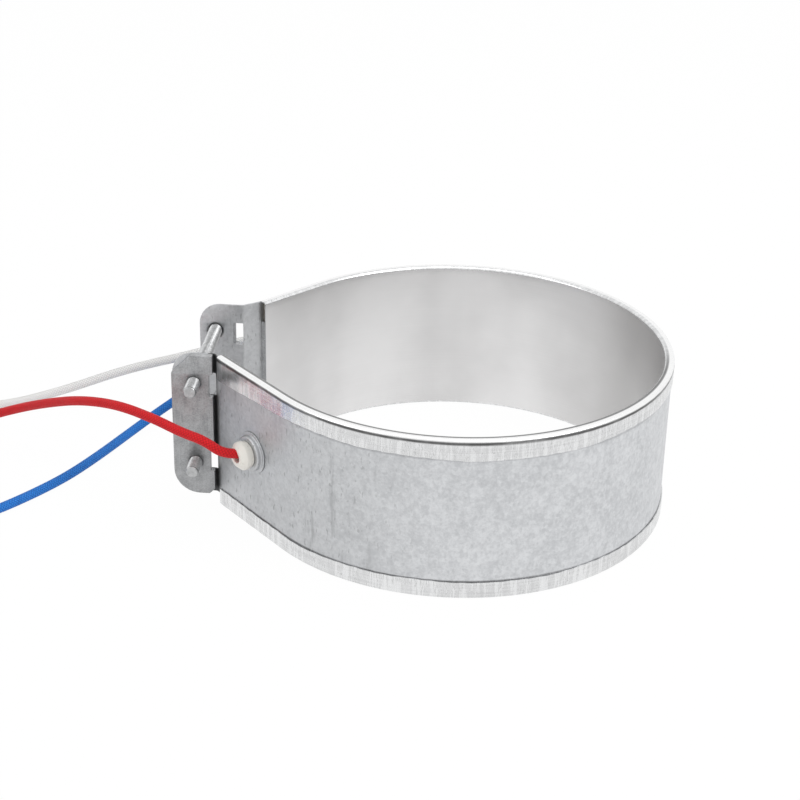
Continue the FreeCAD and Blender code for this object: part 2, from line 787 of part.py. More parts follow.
def heating_ribbon():
    """The flat resistance ribbon, wound round its mica core in one run from end to end."""
    reference = size(CORE_OUT)
    angle = math.radians(size("tangent_angle"))
    arc_length = 2 * angle * reference
    total = size("near_winding_length + far_winding_length") + arc_length
    turns = int(total / size("turn_pitch"))
    pitch = total / turns
    inside = size(CORE_IN) - size("layer_gap")
    outside = size(CORE_OUT) + size("layer_gap")
    low = size("core_side_inset - layer_gap")
    high = size("band_width - core_side_inset + layer_gap")
    gauge = size("ribbon_gauge")
    half_width = size("ribbon_width") / 2

    def course(distance):
        """The outward normal, the way along and the offset on a run, at a distance along the band."""
        on = distance - size("near_winding_length")
        if 0 <= on <= arc_length:
            phi = on / reference - angle
            return Vector(math.cos(phi), math.sin(phi), 0), Vector(-math.sin(phi), math.cos(phi), 0), 0.0
        end = -1 if on < 0 else 1
        outward, along = straight(end)
        station = -on if on < 0 else on - arc_length
        return outward, along * end, station * end

    def ribs(distance, radius, height, out, up):
        """The ribbon's four corners where it passes a point: inner and outer face, both edges."""
        outward, along, run = course(distance)
        inner = outward * radius + along * run + Vector(0, 0, height)
        outer = inner + outward * (out * gauge) + Vector(0, 0, up * gauge)
        side = along * half_width
        return [inner - side, inner + side, outer + side, outer - side]

    ring = []
    for turn in range(turns):
        here, half, there = turn * pitch, (turn + 0.5) * pitch, (turn + 1) * pitch
        ring.append(ribs(here, inside, low, -1, -1))
        ring.append(ribs(here, inside, high, -1, 1))
        ring.append(ribs(here, outside, high, 1, 1))
        ring.append(ribs(half, outside, (low + high) / 2, 1, 0))
        ring.append(ribs(there, outside, low, 1, -1))
    faces = [Part.Face(Part.makePolygon(ring[0] + ring[0][:1]))]
    faces.append(Part.Face(Part.makePolygon(ring[-1] + ring[-1][:1])))
    for index, (one, two) in enumerate(zip(ring, ring[1:])):
        slanted = index % 5 in (2, 3)
        for k in range(4):
            a, b, c, d = one[k], one[(k + 1) % 4], two[(k + 1) % 4], two[k]
            if slanted:
                faces.append(Part.Face(Part.makePolygon([a, b, c, a])))
                faces.append(Part.Face(Part.makePolygon([a, c, d, a])))
            else:
                faces.append(Part.Face(Part.makePolygon([a, b, c, d, a])))
    shell = Part.Shell(faces)
    shell.sewShape()
    solid = Part.Solid(Part.Shell(shell.Faces))
    if solid.Volume < 0:
        solid.reverse()
    return shaped("heating_ribbon", solid)


# ---------------------------------------------------------------------------------------------
# the leads: the way its coil turns (+1 to the left of its heading, -1 to the right), the straight
# run out of its terminal and the points it then bends past, chosen by hand

LEADS = {
    "red": (
        1,
        "short_exit_run",
        [
            (-87.0, -43.5, 37.5),
            (-95.5, -39.5, 38.0),
            (-107.0, -32.5, 39.5),
            (-122.0, -23.0, 39.5),
            (-138.5, -10.5, 34.5),
            (-155.0, 4.0, 25.5),
            (-171.5, 16.5, 16.0),
            (-193.0, 24.0, 5.5),
            (-208.0, 26.0, 1.8),
            (-218.0, 26.5, 1.8),
        ],
    ),
    "white": (
        -1,
        "exit_run",
        [
            (-86.5, 65.0, 29.5),
            (-108.5, 54.5, 25.5),
            (-135.5, 52.5, 18.5),
            (-163.0, 47.0, 9.0),
            (-187.5, 44.5, 2.2),
            (-205.0, 47.0, 1.8),
            (-216.0, 47.0, 1.8),
        ],
    ),
    "blue": (
        -1,
        "exit_run",
        [
            (-93.5, 51.0, 27.0),
            (-103.0, 49.0, 16.5),
            (-118.5, 42.5, 7.0),
            (-129.0, 31.0, 1.9),
            (-139.0, 5.0, 1.8),
            (-148.0, -14.5, 1.8),
            (-162.5, -35.5, 1.8),
            (-171.0, -44.0, 1.8),
        ],
    ),
}


def lead_route(colour):
    """All the points of a lead's free stretch, from its terminal to where its coil begins."""
    end, station = BUSHES[colour]
    start = seat(end, station, size(LEAD_START)).Base
    outward, _along = straight(end)
    _side, exit_run, points = LEADS[colour]
    return [start, start + outward * size(exit_run)] + [Vector(*p) for p in points]


def tube(label, route, radius):
    """A round tube along straight runs that tangent arcs join, each arc as large as its runs allow."""
    edges = []
    at = route[0]
    radii = []
    for before, corner, after in zip(route, route[1:], route[2:]):
        back = before - corner
        on = after - corner
        reach = 0.45 * min(back.Length, on.Length)
        back.normalize()
        on.normalize()
        half_turn = (math.pi - back.getAngle(on)) / 2
        bend = reach / math.tan(half_turn)
        radii.append(bend)
        leave = corner + back * reach
        join = corner + on * reach
        middle = corner + (back + on).normalize() * (math.hypot(reach, bend) - bend)
        edges.append(Part.LineSegment(at, leave).toShape())
        edges.append(Part.Arc(leave, middle, join).toShape())
        at = join
    edges.append(Part.LineSegment(at, route[-1]).toShape())
    path = Part.Wire(edges)
    first = route[1] - route[0]
    section = Part.Wire(Part.makeCircle(radius, route[0], first))
    solid = path.makePipeShell([section], True, False)
    ratio = solid.Volume / (math.pi * radius**2 * path.Length)
    print(label, "length %.1f" % path.Length, "volume ratio %.4f" % ratio, end=" ")
    print("lowest %.2f" % solid.BoundBox.ZMin, "bend radii", [round(r, 1) for r in radii])
    return solid, path.Length


def lead_coil(route, side, spare):
    """The outer shape of a lead's coil: a ring, the stub that leads in and the tail that leaves."""
    radius, reach = size("lead_radius"), size("coil_radius")
    heading = (route[-1] - route[-2]).normalize()
    stub_length = math.sqrt((reach + 2 * radius) ** 2 - reach**2) + radius / 4
    entry = route[-1] + heading * stub_length
    left = Vector(0, 0, 1).cross(heading)
    middle = entry + left * (side * reach)
    floor = Vector(middle.x, middle.y, 0)
    height = size("coil_layers") * 2 * radius
    ring = Part.makeCylinder(reach + radius, height, floor)
    ring = ring.cut(Part.makeCylinder(reach - radius, height, floor))
    slim = radius - size("coil_join_inset")
    stub = Part.makeCylinder(slim, stub_length, route[-1], heading)
    turn = side * (spare - stub_length - size("coil_tail")) / reach
    swing = Rotation(Vector(0, 0, 1), math.degrees(turn))
    leave = middle + swing.multVec(entry - middle)
    leave.z = height - radius
    way = swing.multVec(heading)
    tail = Part.makeCylinder(slim, size("coil_tail"), leave, way)
    end = leave + way * size("coil_tail")
    tip = Part.makeCylinder(size("tip_radius"), size("tip_length"), end, way)
    print("coil turns %.2f" % (abs(turn) / 2 / math.pi), "middle", middle, "tail end", end)
    return ring.fuse([stub, tail]), tip


def leads():
    """Each lead as its free stretch, its coil and its stripped end."""
    made = []
    for colour, (side, _exit_run, _points) in LEADS.items():
        route = lead_route(colour)
        solid, length = tube("lead_" + colour, route, size("lead_radius"))
        spare = size("lead_length") - length
        coil, tip = lead_coil(route, side, spare)
        made.append(shaped("lead_" + colour, solid))
        made.append(shaped("lead_coil_" + colour, coil))
        made.append(shaped("lead_end_" + colour, tip))
    return made


# ---------------------------------------------------------------------------------------------
# everything, in the order it is built up


def build():
    """Makes every sub-part and returns them in order."""
    mica_low = "(sheath_gauge + pack_side_gap)"
    mica_high = f"(band_width - {mica_low})"
    parts = [inner_sheath()]
    parts.append(strip("inner_mica", INNER_MICA_IN, "mica_gauge", mica_low, mica_high, "pack_inset"))
    core_high = "(band_width - core_side_inset)"
    parts.append(strip("winding_core", CORE_IN, "core_gauge", "core_side_inset", core_high, "pack_inset"))
    parts.append(heating_ribbon())
    parts.append(outer_mica())
    parts.append(outer_jacket())
    parts.append(clamp_plate("near_clamp_plate", -1))
    parts.append(clamp_plate("far_clamp_plate", 1))
    for name, sign in (("lower", -1), ("upper", 1)):
        parts.append(clamp_screw("clamp_screw_" + name, sign))
        parts.append(washer("clamp_washer_" + name, sign))
    for colour, (end, station) in BUSHES.items():
        parts.append(terminal("terminal_" + colour, end, station))
        parts.append(ceramic_bush("ceramic_bush_" + colour, end, station))
        parts.append(bush_collar("bush_collar_" + colour, end, station))
    parts += leads()
    return parts


def check_and_write(parts):
    """Recomputes, refuses any failed object or bad shape, and writes one STEP file per sub-part."""
    doc.recompute()
    for thing in doc.Objects:
        if "Invalid" in thing.State or "Error" in thing.State:
            raise ValueError(f"{thing.Label} failed: {thing.State}")
    os.makedirs("parts", exist_ok=True)
    for part in parts:
        shape = part.Shape
        if shape.isNull() or not shape.isValid() or not shape.Solids:
            raise ValueError(f"{part.Label} has no good shape")
        shape.exportStep(f"parts/{part.Label}.step")
        print(part.Label, len(shape.Solids), "solid", round(shape.Volume, 1), "mm3")


check_and_write(build())
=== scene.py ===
"""Looks of a split mica band heater: folded sheath, galvanised jacket, clamp, bushes and leads.

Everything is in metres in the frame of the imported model. Sizes in the classes are in
millimetres, as on a drawing, and are turned into metres when a mesh is made.
"""

import logging
import math
from dataclasses import dataclass, field
from enum import Enum
from typing import Callable, Sequence

import bmesh
import bpy
import numpy as np
from mathutils import Matrix, Vector


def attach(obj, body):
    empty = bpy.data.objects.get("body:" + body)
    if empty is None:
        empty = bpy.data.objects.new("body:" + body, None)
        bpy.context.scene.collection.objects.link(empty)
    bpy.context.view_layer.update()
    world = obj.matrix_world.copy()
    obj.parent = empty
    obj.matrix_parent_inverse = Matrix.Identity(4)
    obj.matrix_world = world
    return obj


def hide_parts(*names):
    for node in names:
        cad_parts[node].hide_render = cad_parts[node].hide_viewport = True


LOG = logging.getLogger("band_heater")
MM = 0.001

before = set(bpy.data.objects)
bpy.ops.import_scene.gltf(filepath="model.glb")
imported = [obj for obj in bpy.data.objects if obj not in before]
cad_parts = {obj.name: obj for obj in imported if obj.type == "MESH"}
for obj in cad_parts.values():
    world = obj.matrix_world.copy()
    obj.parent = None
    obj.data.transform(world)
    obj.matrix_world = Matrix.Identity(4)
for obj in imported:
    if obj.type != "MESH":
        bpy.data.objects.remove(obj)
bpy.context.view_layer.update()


# --------------------------------------------------------------------------- shader building


class Value:
    """A number socket whose operators add Math nodes, so shader maths reads as an expression."""

    def __init__(self, shader: "Nodes", socket: bpy.types.NodeSocket) -> None:
        """Keeps the shader that owns the socket."""
        self.shader = shader
        self.socket = socket

    def _math(self, operation: str, *terms: object, clamp: bool = False) -> "Value":
        """Adds one Math node.

        Args:
            operation: the Math node's operation.
            terms: its inputs in order, each a Value or a number.
            clamp: whether the result is held between 0 and 1.

        Returns:
            The node's result.
        """
        links = {i: t for i, t in enumerate(terms)}
        node = self.shader.node("Math", {"operation": operation, "use_clamp": clamp}, links)
        return Value(self.shader, node.outputs[0])

    def __add__(self, other: object) -> "Value":
        """Sum."""
        return self._math("ADD", self, other)

    __radd__ = __add__

    def __sub__(self, other: object) -> "Value":
        """Difference."""
        return self._math("SUBTRACT", self, other)

    def __rsub__(self, other: object) -> "Value":
        """Difference from a number."""
        return self._math("SUBTRACT", other, self)

    def __mul__(self, other: object) -> "Value":
        """Product."""
        return self._math("MULTIPLY", self, other)

    __rmul__ = __mul__

    def __truediv__(self, other: object) -> "Value":
        """Quotient."""
        return self._math("DIVIDE", self, other)

    def __pow__(self, other: object) -> "Value":
        """Power."""
        return self._math("POWER", self, other)

    def hold(self) -> "Value":
        """The value held between 0 and 1."""
        return self._math("ADD", self, 0.0, clamp=True)

    def sine(self) -> "Value":
        """Its sine."""
        return self._math("SINE", self)

    def size(self) -> "Value":
        """Its absolute value."""
        return self._math("ABSOLUTE", self)

    def fraction(self) -> "Value":
        """Its fractional part."""
        return self._math("FRACT", self)

    def most(self, other: object) -> "Value":
        """The larger of two."""
        return self._math("MAXIMUM", self, other)

    def smooth(self, low: float, high: float) -> "Value":
        """A soft step.

        Args:
            low: where it leaves 0.
            high: where it reaches 1.

        Returns:
            The step as a value from 0 to 1.
        """
        settings = {"interpolation_type": "SMOOTHSTEP"}
        links = {"Value": self, "From Min": low, "From Max": high}
        node = self.shader.node("MapRange", settings, links)
        return Value(self.shader, node.outputs[0])


class Nodes:
    """A node tree of a material or a world, whose nodes all come from one method."""

    def __init__(self, tree: bpy.types.NodeTree) -> None:
        """Empties the tree."""
        self.tree = tree
        self.tree.nodes.clear()

    def node(
        self, kind: str, settings: dict[str, object] | None = None, links: dict[object, object] | None = None
    ) -> bpy.types.Node:
        """Adds one node.

        Args:
            kind: the node's type without its ShaderNode prefix.
            settings: attributes set first; "stops" gives a ramp's positions and colours.
            links: what each input takes, by name or number: a Value, a socket or a constant.

        Returns:
            The new node.
        """
        node = self.tree.nodes.new("ShaderNode" + kind)
        for key, value in (settings or {}).items():
            if key == "stops":
                ramp = node.color_ramp
                while len(ramp.elements) < len(value):
                    ramp.elements.new(0.5)
                for element, (place, colour) in zip(ramp.elements, value):
                    element.position = place
                    element.color = (*colour, 1.0)
            else:
                setattr(node, key, value)
        for key, value in (links or {}).items():
            self.feed(node.inputs[key], value)
        return node

    def feed(self, socket: bpy.types.NodeSocket, value: object) -> None:
        """Links a Value or socket into an input, or sets a constant on it."""
        if isinstance(value, Value):
            self.tree.links.new(value.socket, socket)
        elif isinstance(value, bpy.types.NodeSocket):
            self.tree.links.new(value, socket)
        elif hasattr(value, "__len__") and len(value) == 3 and socket.type == "RGBA":
            socket.default_value = (*value, 1.0)
        else:
            socket.default_value = value


class Shader(Nodes):
    """One material's node tree, with its principled shader."""

    def __init__(self, name: str) -> None:
        """Starts an empty material of that name."""
        self.material = bpy.data.materials.new(name)
        self.material.use_nodes = True
        super().__init__(self.material.node_tree)
        self.output = self.node("OutputMaterial")
        self.surface = self.node("BsdfPrincipled")
        self.tree.links.new(self.surface.outputs[0], self.output.inputs[0])

    def place(self, scale: Sequence[float] = (1.0, 1.0, 1.0)) -> bpy.types.NodeSocket:
        """Object coordinates in millimetres, stretched along the axes.

        Args:
            scale: a further scale along X, Y and Z.

        Returns:
            The vector socket.
        """
        where = self.node("TexCoord").outputs["Object"]
        scales = tuple(s / MM for s in scale)
        return self.node("Mapping", {}, {"Vector": where, "Scale": scales}).outputs[0]

    def own_uv(self, scale: Sequence[float] = (1.0, 1.0, 1.0)) -> bpy.types.NodeSocket:
        """The piece's own UV map, whose unit is the millimetre, stretched along its two directions."""
        where = self.node("UVMap", {"uv_map": "UVMap"}).outputs[0]
        return self.node("Mapping", {}, {"Vector": where, "Scale": tuple(scale)}).outputs[0]

    def parts(self, vector: bpy.types.NodeSocket) -> tuple[Value, Value, Value]:
        """A vector's three parts."""
        node = self.node("SeparateXYZ", {}, {0: vector})
        return tuple(Value(self, out) for out in node.outputs[:3])

    def noise(
        self, where: bpy.types.NodeSocket, scale: float, detail: float = 3.0, rough: float = 0.5
    ) -> Value:
        """A noise from 0 to 1.

        Args:
            where: the vector it reads.
            scale: its number of features per unit of the vector.
            detail: its octaves.
            rough: how strong the small octaves are.

        Returns:
            The noise.
        """
        links = {"Vector": where, "Scale": scale, "Detail": detail, "Roughness": rough}
        return Value(self, self.node("TexNoise", {}, links).outputs[0])

    def cells(self, where: bpy.types.NodeSocket, scale: float) -> bpy.types.Node:
        """A Voronoi node, whose Color is one shade for each cell."""
        return self.node("TexVoronoi", {"feature": "F1"}, {"Vector": where, "Scale": scale})

    def blend(self, share: object, one: object, two: object) -> bpy.types.NodeSocket:
        """A mix of two colours.

        Args:
            share: how much of the second, from 0 to 1.
            one: the first colour.
            two: the second colour.

        Returns:
            The mixed colour's socket.
        """
        node = self.node("Mix", {"data_type": "RGBA"})
        self.feed(node.inputs[0], share)
        self.feed(node.inputs[6], one)
        self.feed(node.inputs[7], two)
        return node.outputs[2]

    def bump(self, height: Value, depth_mm: float, strength: float = 1.0) -> None:
        """Puts a relief on the surface.

        Args:
            height: the relief as a value from 0 to 1.
            depth_mm: how deep its full range is.
            strength: how much of it shows.
        """
        links = {"Height": height, "Distance": depth_mm * MM, "Strength": strength}
        node = self.node("Bump", {}, links)
        self.feed(self.surface.inputs["Normal"], node.outputs[0])

    def set(self, **values: object) -> None:
        """Feeds the principled shader's sockets, named in lower case with underscores."""
        for key, value in values.items():
            self.feed(self.surface.inputs[key.replace("_", " ").title()], value)


# --------------------------------------------------------------------------------- finishes


class Finish:
    """A surface finish, which makes its material once."""

    name: str = "finish"

    def material(self) -> bpy.types.Material:
        """The finish's material, made when first asked for."""
        key = "finish_" + self.name
        if key not in bpy.data.materials:
            shader = Shader(key)
            self.paint(shader)
        return bpy.data.materials[key]

    def paint(self, shader: Shader) -> None:
        """Builds the nodes."""
        raise NotImplementedError


@dataclass(frozen=True)
class GalvanisedSheet(Finish):
    """Zinc-coated sheet: soft fine mottling, upright streaks, a few dark specks, and painted shade in the
    near fold and beside the flanges' edges.
    """

    name: str = "galvanised_sheet"
    light: tuple[float, float, float] = (0.70, 0.71, 0.725)
    dark: tuple[float, float, float] = (0.52, 0.53, 0.545)
    # Colour of the real smudges and streaks, and of the painted shade towards the near end.
    smudge_and_shade: tuple[float, float, float] = (0.30, 0.305, 0.31)
    # Dark colour of the painted shade in the near fold and beside the flanges' edges.
    painted_shade: tuple[float, float, float] = (0.05, 0.05, 0.052)
    spangle_mm: float = 1.5
    roughness: float = 0.44
    fold_from_x: float = -84.6
    fold_to_x: float = -89.4
    ear_y: float = -19.0
    upper_edge_z: float = 52.9
    lower_edge_z: float = 6.5

    def paint(self, shader: Shader) -> None:
        """Mixes the zinc's grain, clouds and streaks, and paints shade into the near fold and beside the
        flanges' edges.
        """
        where = shader.place()
        x, y, z = shader.parts(where)
        grain = shader.parts(shader.cells(where, 1.0 / self.spangle_mm).outputs["Color"])[0]
        fine = shader.noise(where, 0.9, 5.0, 0.7)
        cloud = shader.noise(where, 0.05, 4.0, 0.6)
        streak = shader.noise(shader.place((1.0, 1.0, 0.16)), 0.22, 5.0, 0.65)
        middling = shader.noise(where, 0.30, 4.0, 0.65)
        mix = grain * 0.08 + fine * 0.42 + middling * 0.30 + cloud * 0.20
        near_end = x.smooth(5.0, -55.0)
        body = shader.blend(mix.smooth(0.36, 0.64), self.dark, self.light)
        # Painted shade: the whole sheet grows darker towards the near end, standing in for darker reflections
        # there; the streaks and dashes below are real smudges, also heavier there.
        body = shader.blend(near_end * 0.30, body, self.smudge_and_shade)
        stain = streak.smooth(0.55, 0.72) * (near_end * 0.50 + 0.08)
        colour = shader.blend(stain, body, self.smudge_and_shade)
        dash = shader.noise(shader.place((1.0, 1.0, 0.35)), 0.9, 2.0).smooth(0.63, 0.70)
        colour = shader.blend(dash * (near_end * 0.60 + 0.10), colour, self.smudge_and_shade)
        # Painted shade: the concave fold by the near ear, also where it shows through the windows, is
        # darkened almost to black.
        fold = x.smooth(self.fold_from_x, self.fold_from_x - 1.8)
        fold = fold * x.smooth(self.fold_to_x, self.fold_to_x + 0.8) * y.smooth(self.ear_y, self.ear_y - 0.8)
        # Painted shadow: a thin dark line just beside the flanges' cut edges, stronger by the lower flange.
        banded = (x.smooth(-84.0, -82.0) * y.smooth(0.0, -1.0) + x.smooth(-77.0, -75.0)).hold()
        upper = z.smooth(self.upper_edge_z - 0.7, self.upper_edge_z) * 0.22
        lower = z.smooth(self.lower_edge_z + 0.6, self.lower_edge_z) * 0.70
        edge = (upper + lower) * banded
        colour = shader.blend((fold * 0.94 + edge).hold(), colour, self.painted_shade)
        rough = grain * 0.06 + fine * 0.16 + (self.roughness - 0.10) + stain * 0.12
        shader.bump(fine * 0.5 + grain * 0.12 + cloud * 0.6, 0.04, 0.5)
        shader.set(base_color=colour, roughness=rough, metallic=0.82)


@dataclass(frozen=True)
class BrightRim(Finish):
    """Bright rolled stainless of the flanges: rolling lines, upright crimps, a painted highlight along the
    rim's top and painted dark reflections in the bends.

    The bends' places are distances across the folded profile, along its outer face.
    """

    name: str = "bright_rim"
    bright: tuple[float, float, float] = (0.80, 0.805, 0.81)
    dull: tuple[float, float, float] = (0.60, 0.603, 0.608)
    # Colour of the painted highlight along the rim's flat top.
    painted_highlight: tuple[float, float, float] = (0.93, 0.93, 0.93)
    # Colour of the painted dark reflections in the bends.
    painted_dark_reflection: tuple[float, float, float] = (0.07, 0.07, 0.07)
    outer_bend: float = 83.35
    inner_bend: float = 86.75
    lower_bend: float = 150.2
    bend_half: float = 0.85
    roughness: float = 0.25

    def paint(self, shader: Shader) -> None:
        """Reads the piece's own UV: U runs along the band, V across the folded profile."""
        line = shader.noise(shader.own_uv((0.03, 1.6, 1.0)), 1.0, 3.0, 0.5)
        crimp = shader.noise(shader.own_uv((0.55, 0.05, 1.0)), 1.0, 4.0, 0.7)
        spots = shader.noise(shader.own_uv((0.4, 0.6, 1.0)), 1.0, 4.0, 0.7)
        patch = shader.noise(shader.own_uv((0.05, 0.3, 1.0)), 1.0, 4.0, 0.65)
        scuff = spots.smooth(0.60, 0.78)
        crease = (crimp - 0.5).size().smooth(0.013, 0.0)
        colour = shader.blend((line * 0.3 + crimp * 0.7).smooth(0.32, 0.62), self.dull, self.bright)
        colour = shader.blend(crease * 0.50 + scuff * 0.22, colour, (0.30, 0.30, 0.30))
        v = shader.parts(shader.own_uv())[1]
        y = shader.parts(shader.place())[1]
        # Painted highlight: a bright band along the middle of the rim's top, between the bends.
        middle = (self.outer_bend + self.inner_bend) / 2
        top = (v - middle).size().smooth(1.5, 1.0)
        colour = shader.blend(top * 0.85, colour, self.painted_highlight)
        # Painted dark reflections: narrow dark bands along the outer, inner and lower bends, the inner one
        # only on the near side.
        outer = (v - self.outer_bend).size().smooth(self.bend_half, 0.2)
        outer = outer * (patch.smooth(0.30, 0.55) * 0.35 + 0.60)
        inner = (v - self.inner_bend).size().smooth(self.bend_half, 0.2) * y.smooth(15.0, -15.0) * 0.80
        lower = (v - self.lower_bend).size().smooth(self.bend_half, 0.2) * 0.35
        colour = shader.blend((outer + inner + lower).hold(), colour, self.painted_dark_reflection)
        rough = line * 0.08 + scuff * 0.22 + (self.roughness - 0.04)
        shader.bump((line * 0.2 + crimp * 0.7 + spots * 0.15) * (1.0 - top * 0.8), 0.07, 0.7)
        shader.set(base_color=colour, roughness=rough, metallic=0.96)


@dataclass(frozen=True)
class SatinBore(Finish):
    """Satin stainless of the bore's wall, ground along the strip, with soft upright clouds and painted shade
    towards +X.
    """

    name: str = "satin_bore"
    bright: tuple[float, float, float] = (0.80, 0.795, 0.795)
    dull: tuple[float, float, float] = (0.64, 0.635, 0.635)
    # Colour of the real tarnish marks and of the painted shade towards +X.
    tarnish_and_shade: tuple[float, float, float] = (0.33, 0.325, 0.32)
    roughness: float = 0.33

    def paint(self, shader: Shader) -> None:
        """Reads the piece's own UV: fine lines along the strip and wide soft bands across it."""
        line = shader.noise(shader.own_uv((0.012, 2.4, 1.0)), 1.0, 2.0, 0.5)
        band = shader.noise(shader.own_uv((0.022, 0.004, 1.0)), 1.0, 2.0, 0.5)
        haze = shader.noise(shader.own_uv((0.03, 0.035, 1.0)), 1.0, 3.0, 0.5)
        mark = shader.noise(shader.own_uv((0.5, 0.06, 1.0)), 1.0, 3.0, 0.6).smooth(0.66, 0.78)
        mix = line * 0.06 + band * 0.60 + haze * 0.34
        colour = shader.blend(mix.smooth(0.34, 0.66), self.dull, self.bright)
        # Painted shade: the bore darkens towards +X, standing in for darker reflections on that side; the
        # faint marks are real tarnish.
        x = shader.parts(shader.place())[0]
        share = (mark * 0.08 + x.smooth(30.0, 75.0) * 0.55).hold()
        colour = shader.blend(share, colour, self.tarnish_and_shade)
        rough = line * 0.05 + haze * 0.12 + (self.roughness - 0.08)
        shader.bump(line * 0.15 + haze * 0.8, 0.012, 0.35)
        shader.set(base_color=colour, roughness=rough, metallic=0.95)


@dataclass(frozen=True)
class DullPlate(Finish):
    """Thick galvanised plate: mottled grey, dull edges, small pits and handling marks."""

    name: str = "dull_plate"
    light: tuple[float, float, float] = (0.47, 0.475, 0.485)
    dark: tuple[float, float, float] = (0.27, 0.275, 0.28)
    roughness: float = 0.50

    def paint(self, shader: Shader) -> None:
        """Mixes blotches of two sizes with scratches and pits."""
        where = shader.place()
        blotch = shader.noise(where, 0.28, 5.0, 0.62)
        fine = shader.noise(where, 1.9, 4.0, 0.7)
        scratch = shader.noise(shader.place((1.0, 1.0, 0.08)), 1.3, 3.0, 0.6)
        mix = blotch * 0.35 + fine * 0.50 + scratch * 0.15
        colour = shader.blend(mix.smooth(0.34, 0.64), self.dark, self.light)
        pit = shader.noise(where, 2.6, 2.0).smooth(0.70, 0.78)
        colour = shader.blend(pit * 0.5, colour, (0.16, 0.16, 0.165))
        rough = fine * 0.16 + blotch * 0.12 + (self.roughness - 0.14)
        shader.bump(fine * 0.6 + blotch * 0.7 - pit * 0.5, 0.07, 0.6)
        shader.set(base_color=colour, roughness=rough, metallic=0.85)


@dataclass(frozen=True)
class ZincSteel(Finish):
    """Zinc-plated steel of screws and washers, with painted shade in the thread's roots."""

    name: str = "zinc_steel"
    light: tuple[float, float, float] = (0.56, 0.565, 0.57)
    dark: tuple[float, float, float] = (0.34, 0.345, 0.35)
    # Colour of the painted shade in the thread's roots.
    root_shade: tuple[float, float, float] = (0.06, 0.06, 0.06)
    axis_x: float = -94.1
    middle_z: float = 33.5
    half_spacing: float = 16.0
    tip_y: float = -30.56
    roughness: float = 0.32

    def paint(self, shader: Shader) -> None:
        """Cloudy plating with fine turning marks, and painted shade in the thread's roots, found by the
        distance from the screws' axes.
        """
        where = shader.place()
        x, y, z = shader.parts(where)
        across, up = x - self.axis_x, (z - self.middle_z).size() - self.half_spacing
        # Painted shade: the thread's roots, found by their distance from the screws' axes, are darkened.
        deep = ((across * across + up * up) ** 0.5).smooth(2.46, 2.16)
        deep = deep * y.smooth(self.tip_y + 0.1, self.tip_y + 0.4)
        cloud = shader.noise(where, 0.6, 4.0, 0.6)
        fine = shader.noise(where, 4.0, 3.0, 0.6)
        colour = shader.blend((cloud * 0.6 + fine * 0.4).smooth(0.3, 0.7), self.dark, self.light)
        colour = shader.blend(deep * 0.80, colour, self.root_shade)
        shader.bump(fine * 0.5 + cloud * 0.3, 0.02, 0.5)
        shader.set(base_color=colour, roughness=cloud * 0.14 + (self.roughness - 0.05), metallic=0.95)


@dataclass(frozen=True)
class FiredCeramic(Finish):
    """Unglazed off-white ceramic with a chalky grain and grey handling marks."""

    name: str = "fired_ceramic"
    body: tuple[float, float, float] = (0.80, 0.775, 0.72)
    stain: tuple[float, float, float] = (0.55, 0.525, 0.48)
    roughness: float = 0.55

    def paint(self, shader: Shader) -> None:
        """Chalky grain and faint stains."""
        where = shader.place()
        grain = shader.noise(where, 3.5, 4.0, 0.65)
        stain = shader.noise(where, 0.55, 4.0, 0.6)
        share = stain.smooth(0.54, 0.74) * 0.45 + grain.smooth(0.62, 0.80) * 0.25
        shader.bump(grain * 0.6 + stain * 0.5, 0.05, 0.6)
        shader.set(
            base_color=shader.blend(share, self.body, self.stain),
            roughness=grain * 0.15 + (self.roughness - 0.05),
            metallic=0.0,
        )


@dataclass(frozen=True)
class MicaBoard(Finish):
    """Pressed mica: pearly flakes in a tan binder."""

    name: str = "mica_board"
    body: tuple[float, float, float] = (0.26, 0.225, 0.18)
    flake: tuple[float, float, float] = (0.42, 0.385, 0.33)

    def paint(self, shader: Shader) -> None:
        """Flakes of one shade each over a fine grain."""
        where = shader.place()
        cell = shader.parts(shader.cells(where, 0.9).outputs["Color"])[0]
        fine = shader.noise(where, 2.2, 4.0)
        colour = shader.blend((cell * 0.6 + fine * 0.4).smooth(0.25, 0.8), self.body, self.flake)
        shader.bump(cell * 0.4 + fine * 0.6, 0.05, 0.6)
        shader.set(base_color=colour, roughness=fine * 0.2 + 0.38, metallic=0.08)


@dataclass(frozen=True)
class HotRibbon(Finish):
    """Resistance ribbon, oxidised in straw and grey."""

    name: str = "hot_ribbon"
    cool: tuple[float, float, float] = (0.46, 0.44, 0.42)
    hot: tuple[float, float, float] = (0.30, 0.24, 0.19)

    def paint(self, shader: Shader) -> None:
        """Patches of oxide along the ribbon."""
        where = shader.place()
        oxide = shader.noise(where, 0.3, 4.0)
        shader.bump(shader.noise(where, 3.0, 3.0), 0.02, 0.5)
        shader.set(
            base_color=shader.blend(oxide.smooth(0.4, 0.65), self.cool, self.hot),
            roughness=oxide * 0.2 + 0.32,
            metallic=0.9,
        )


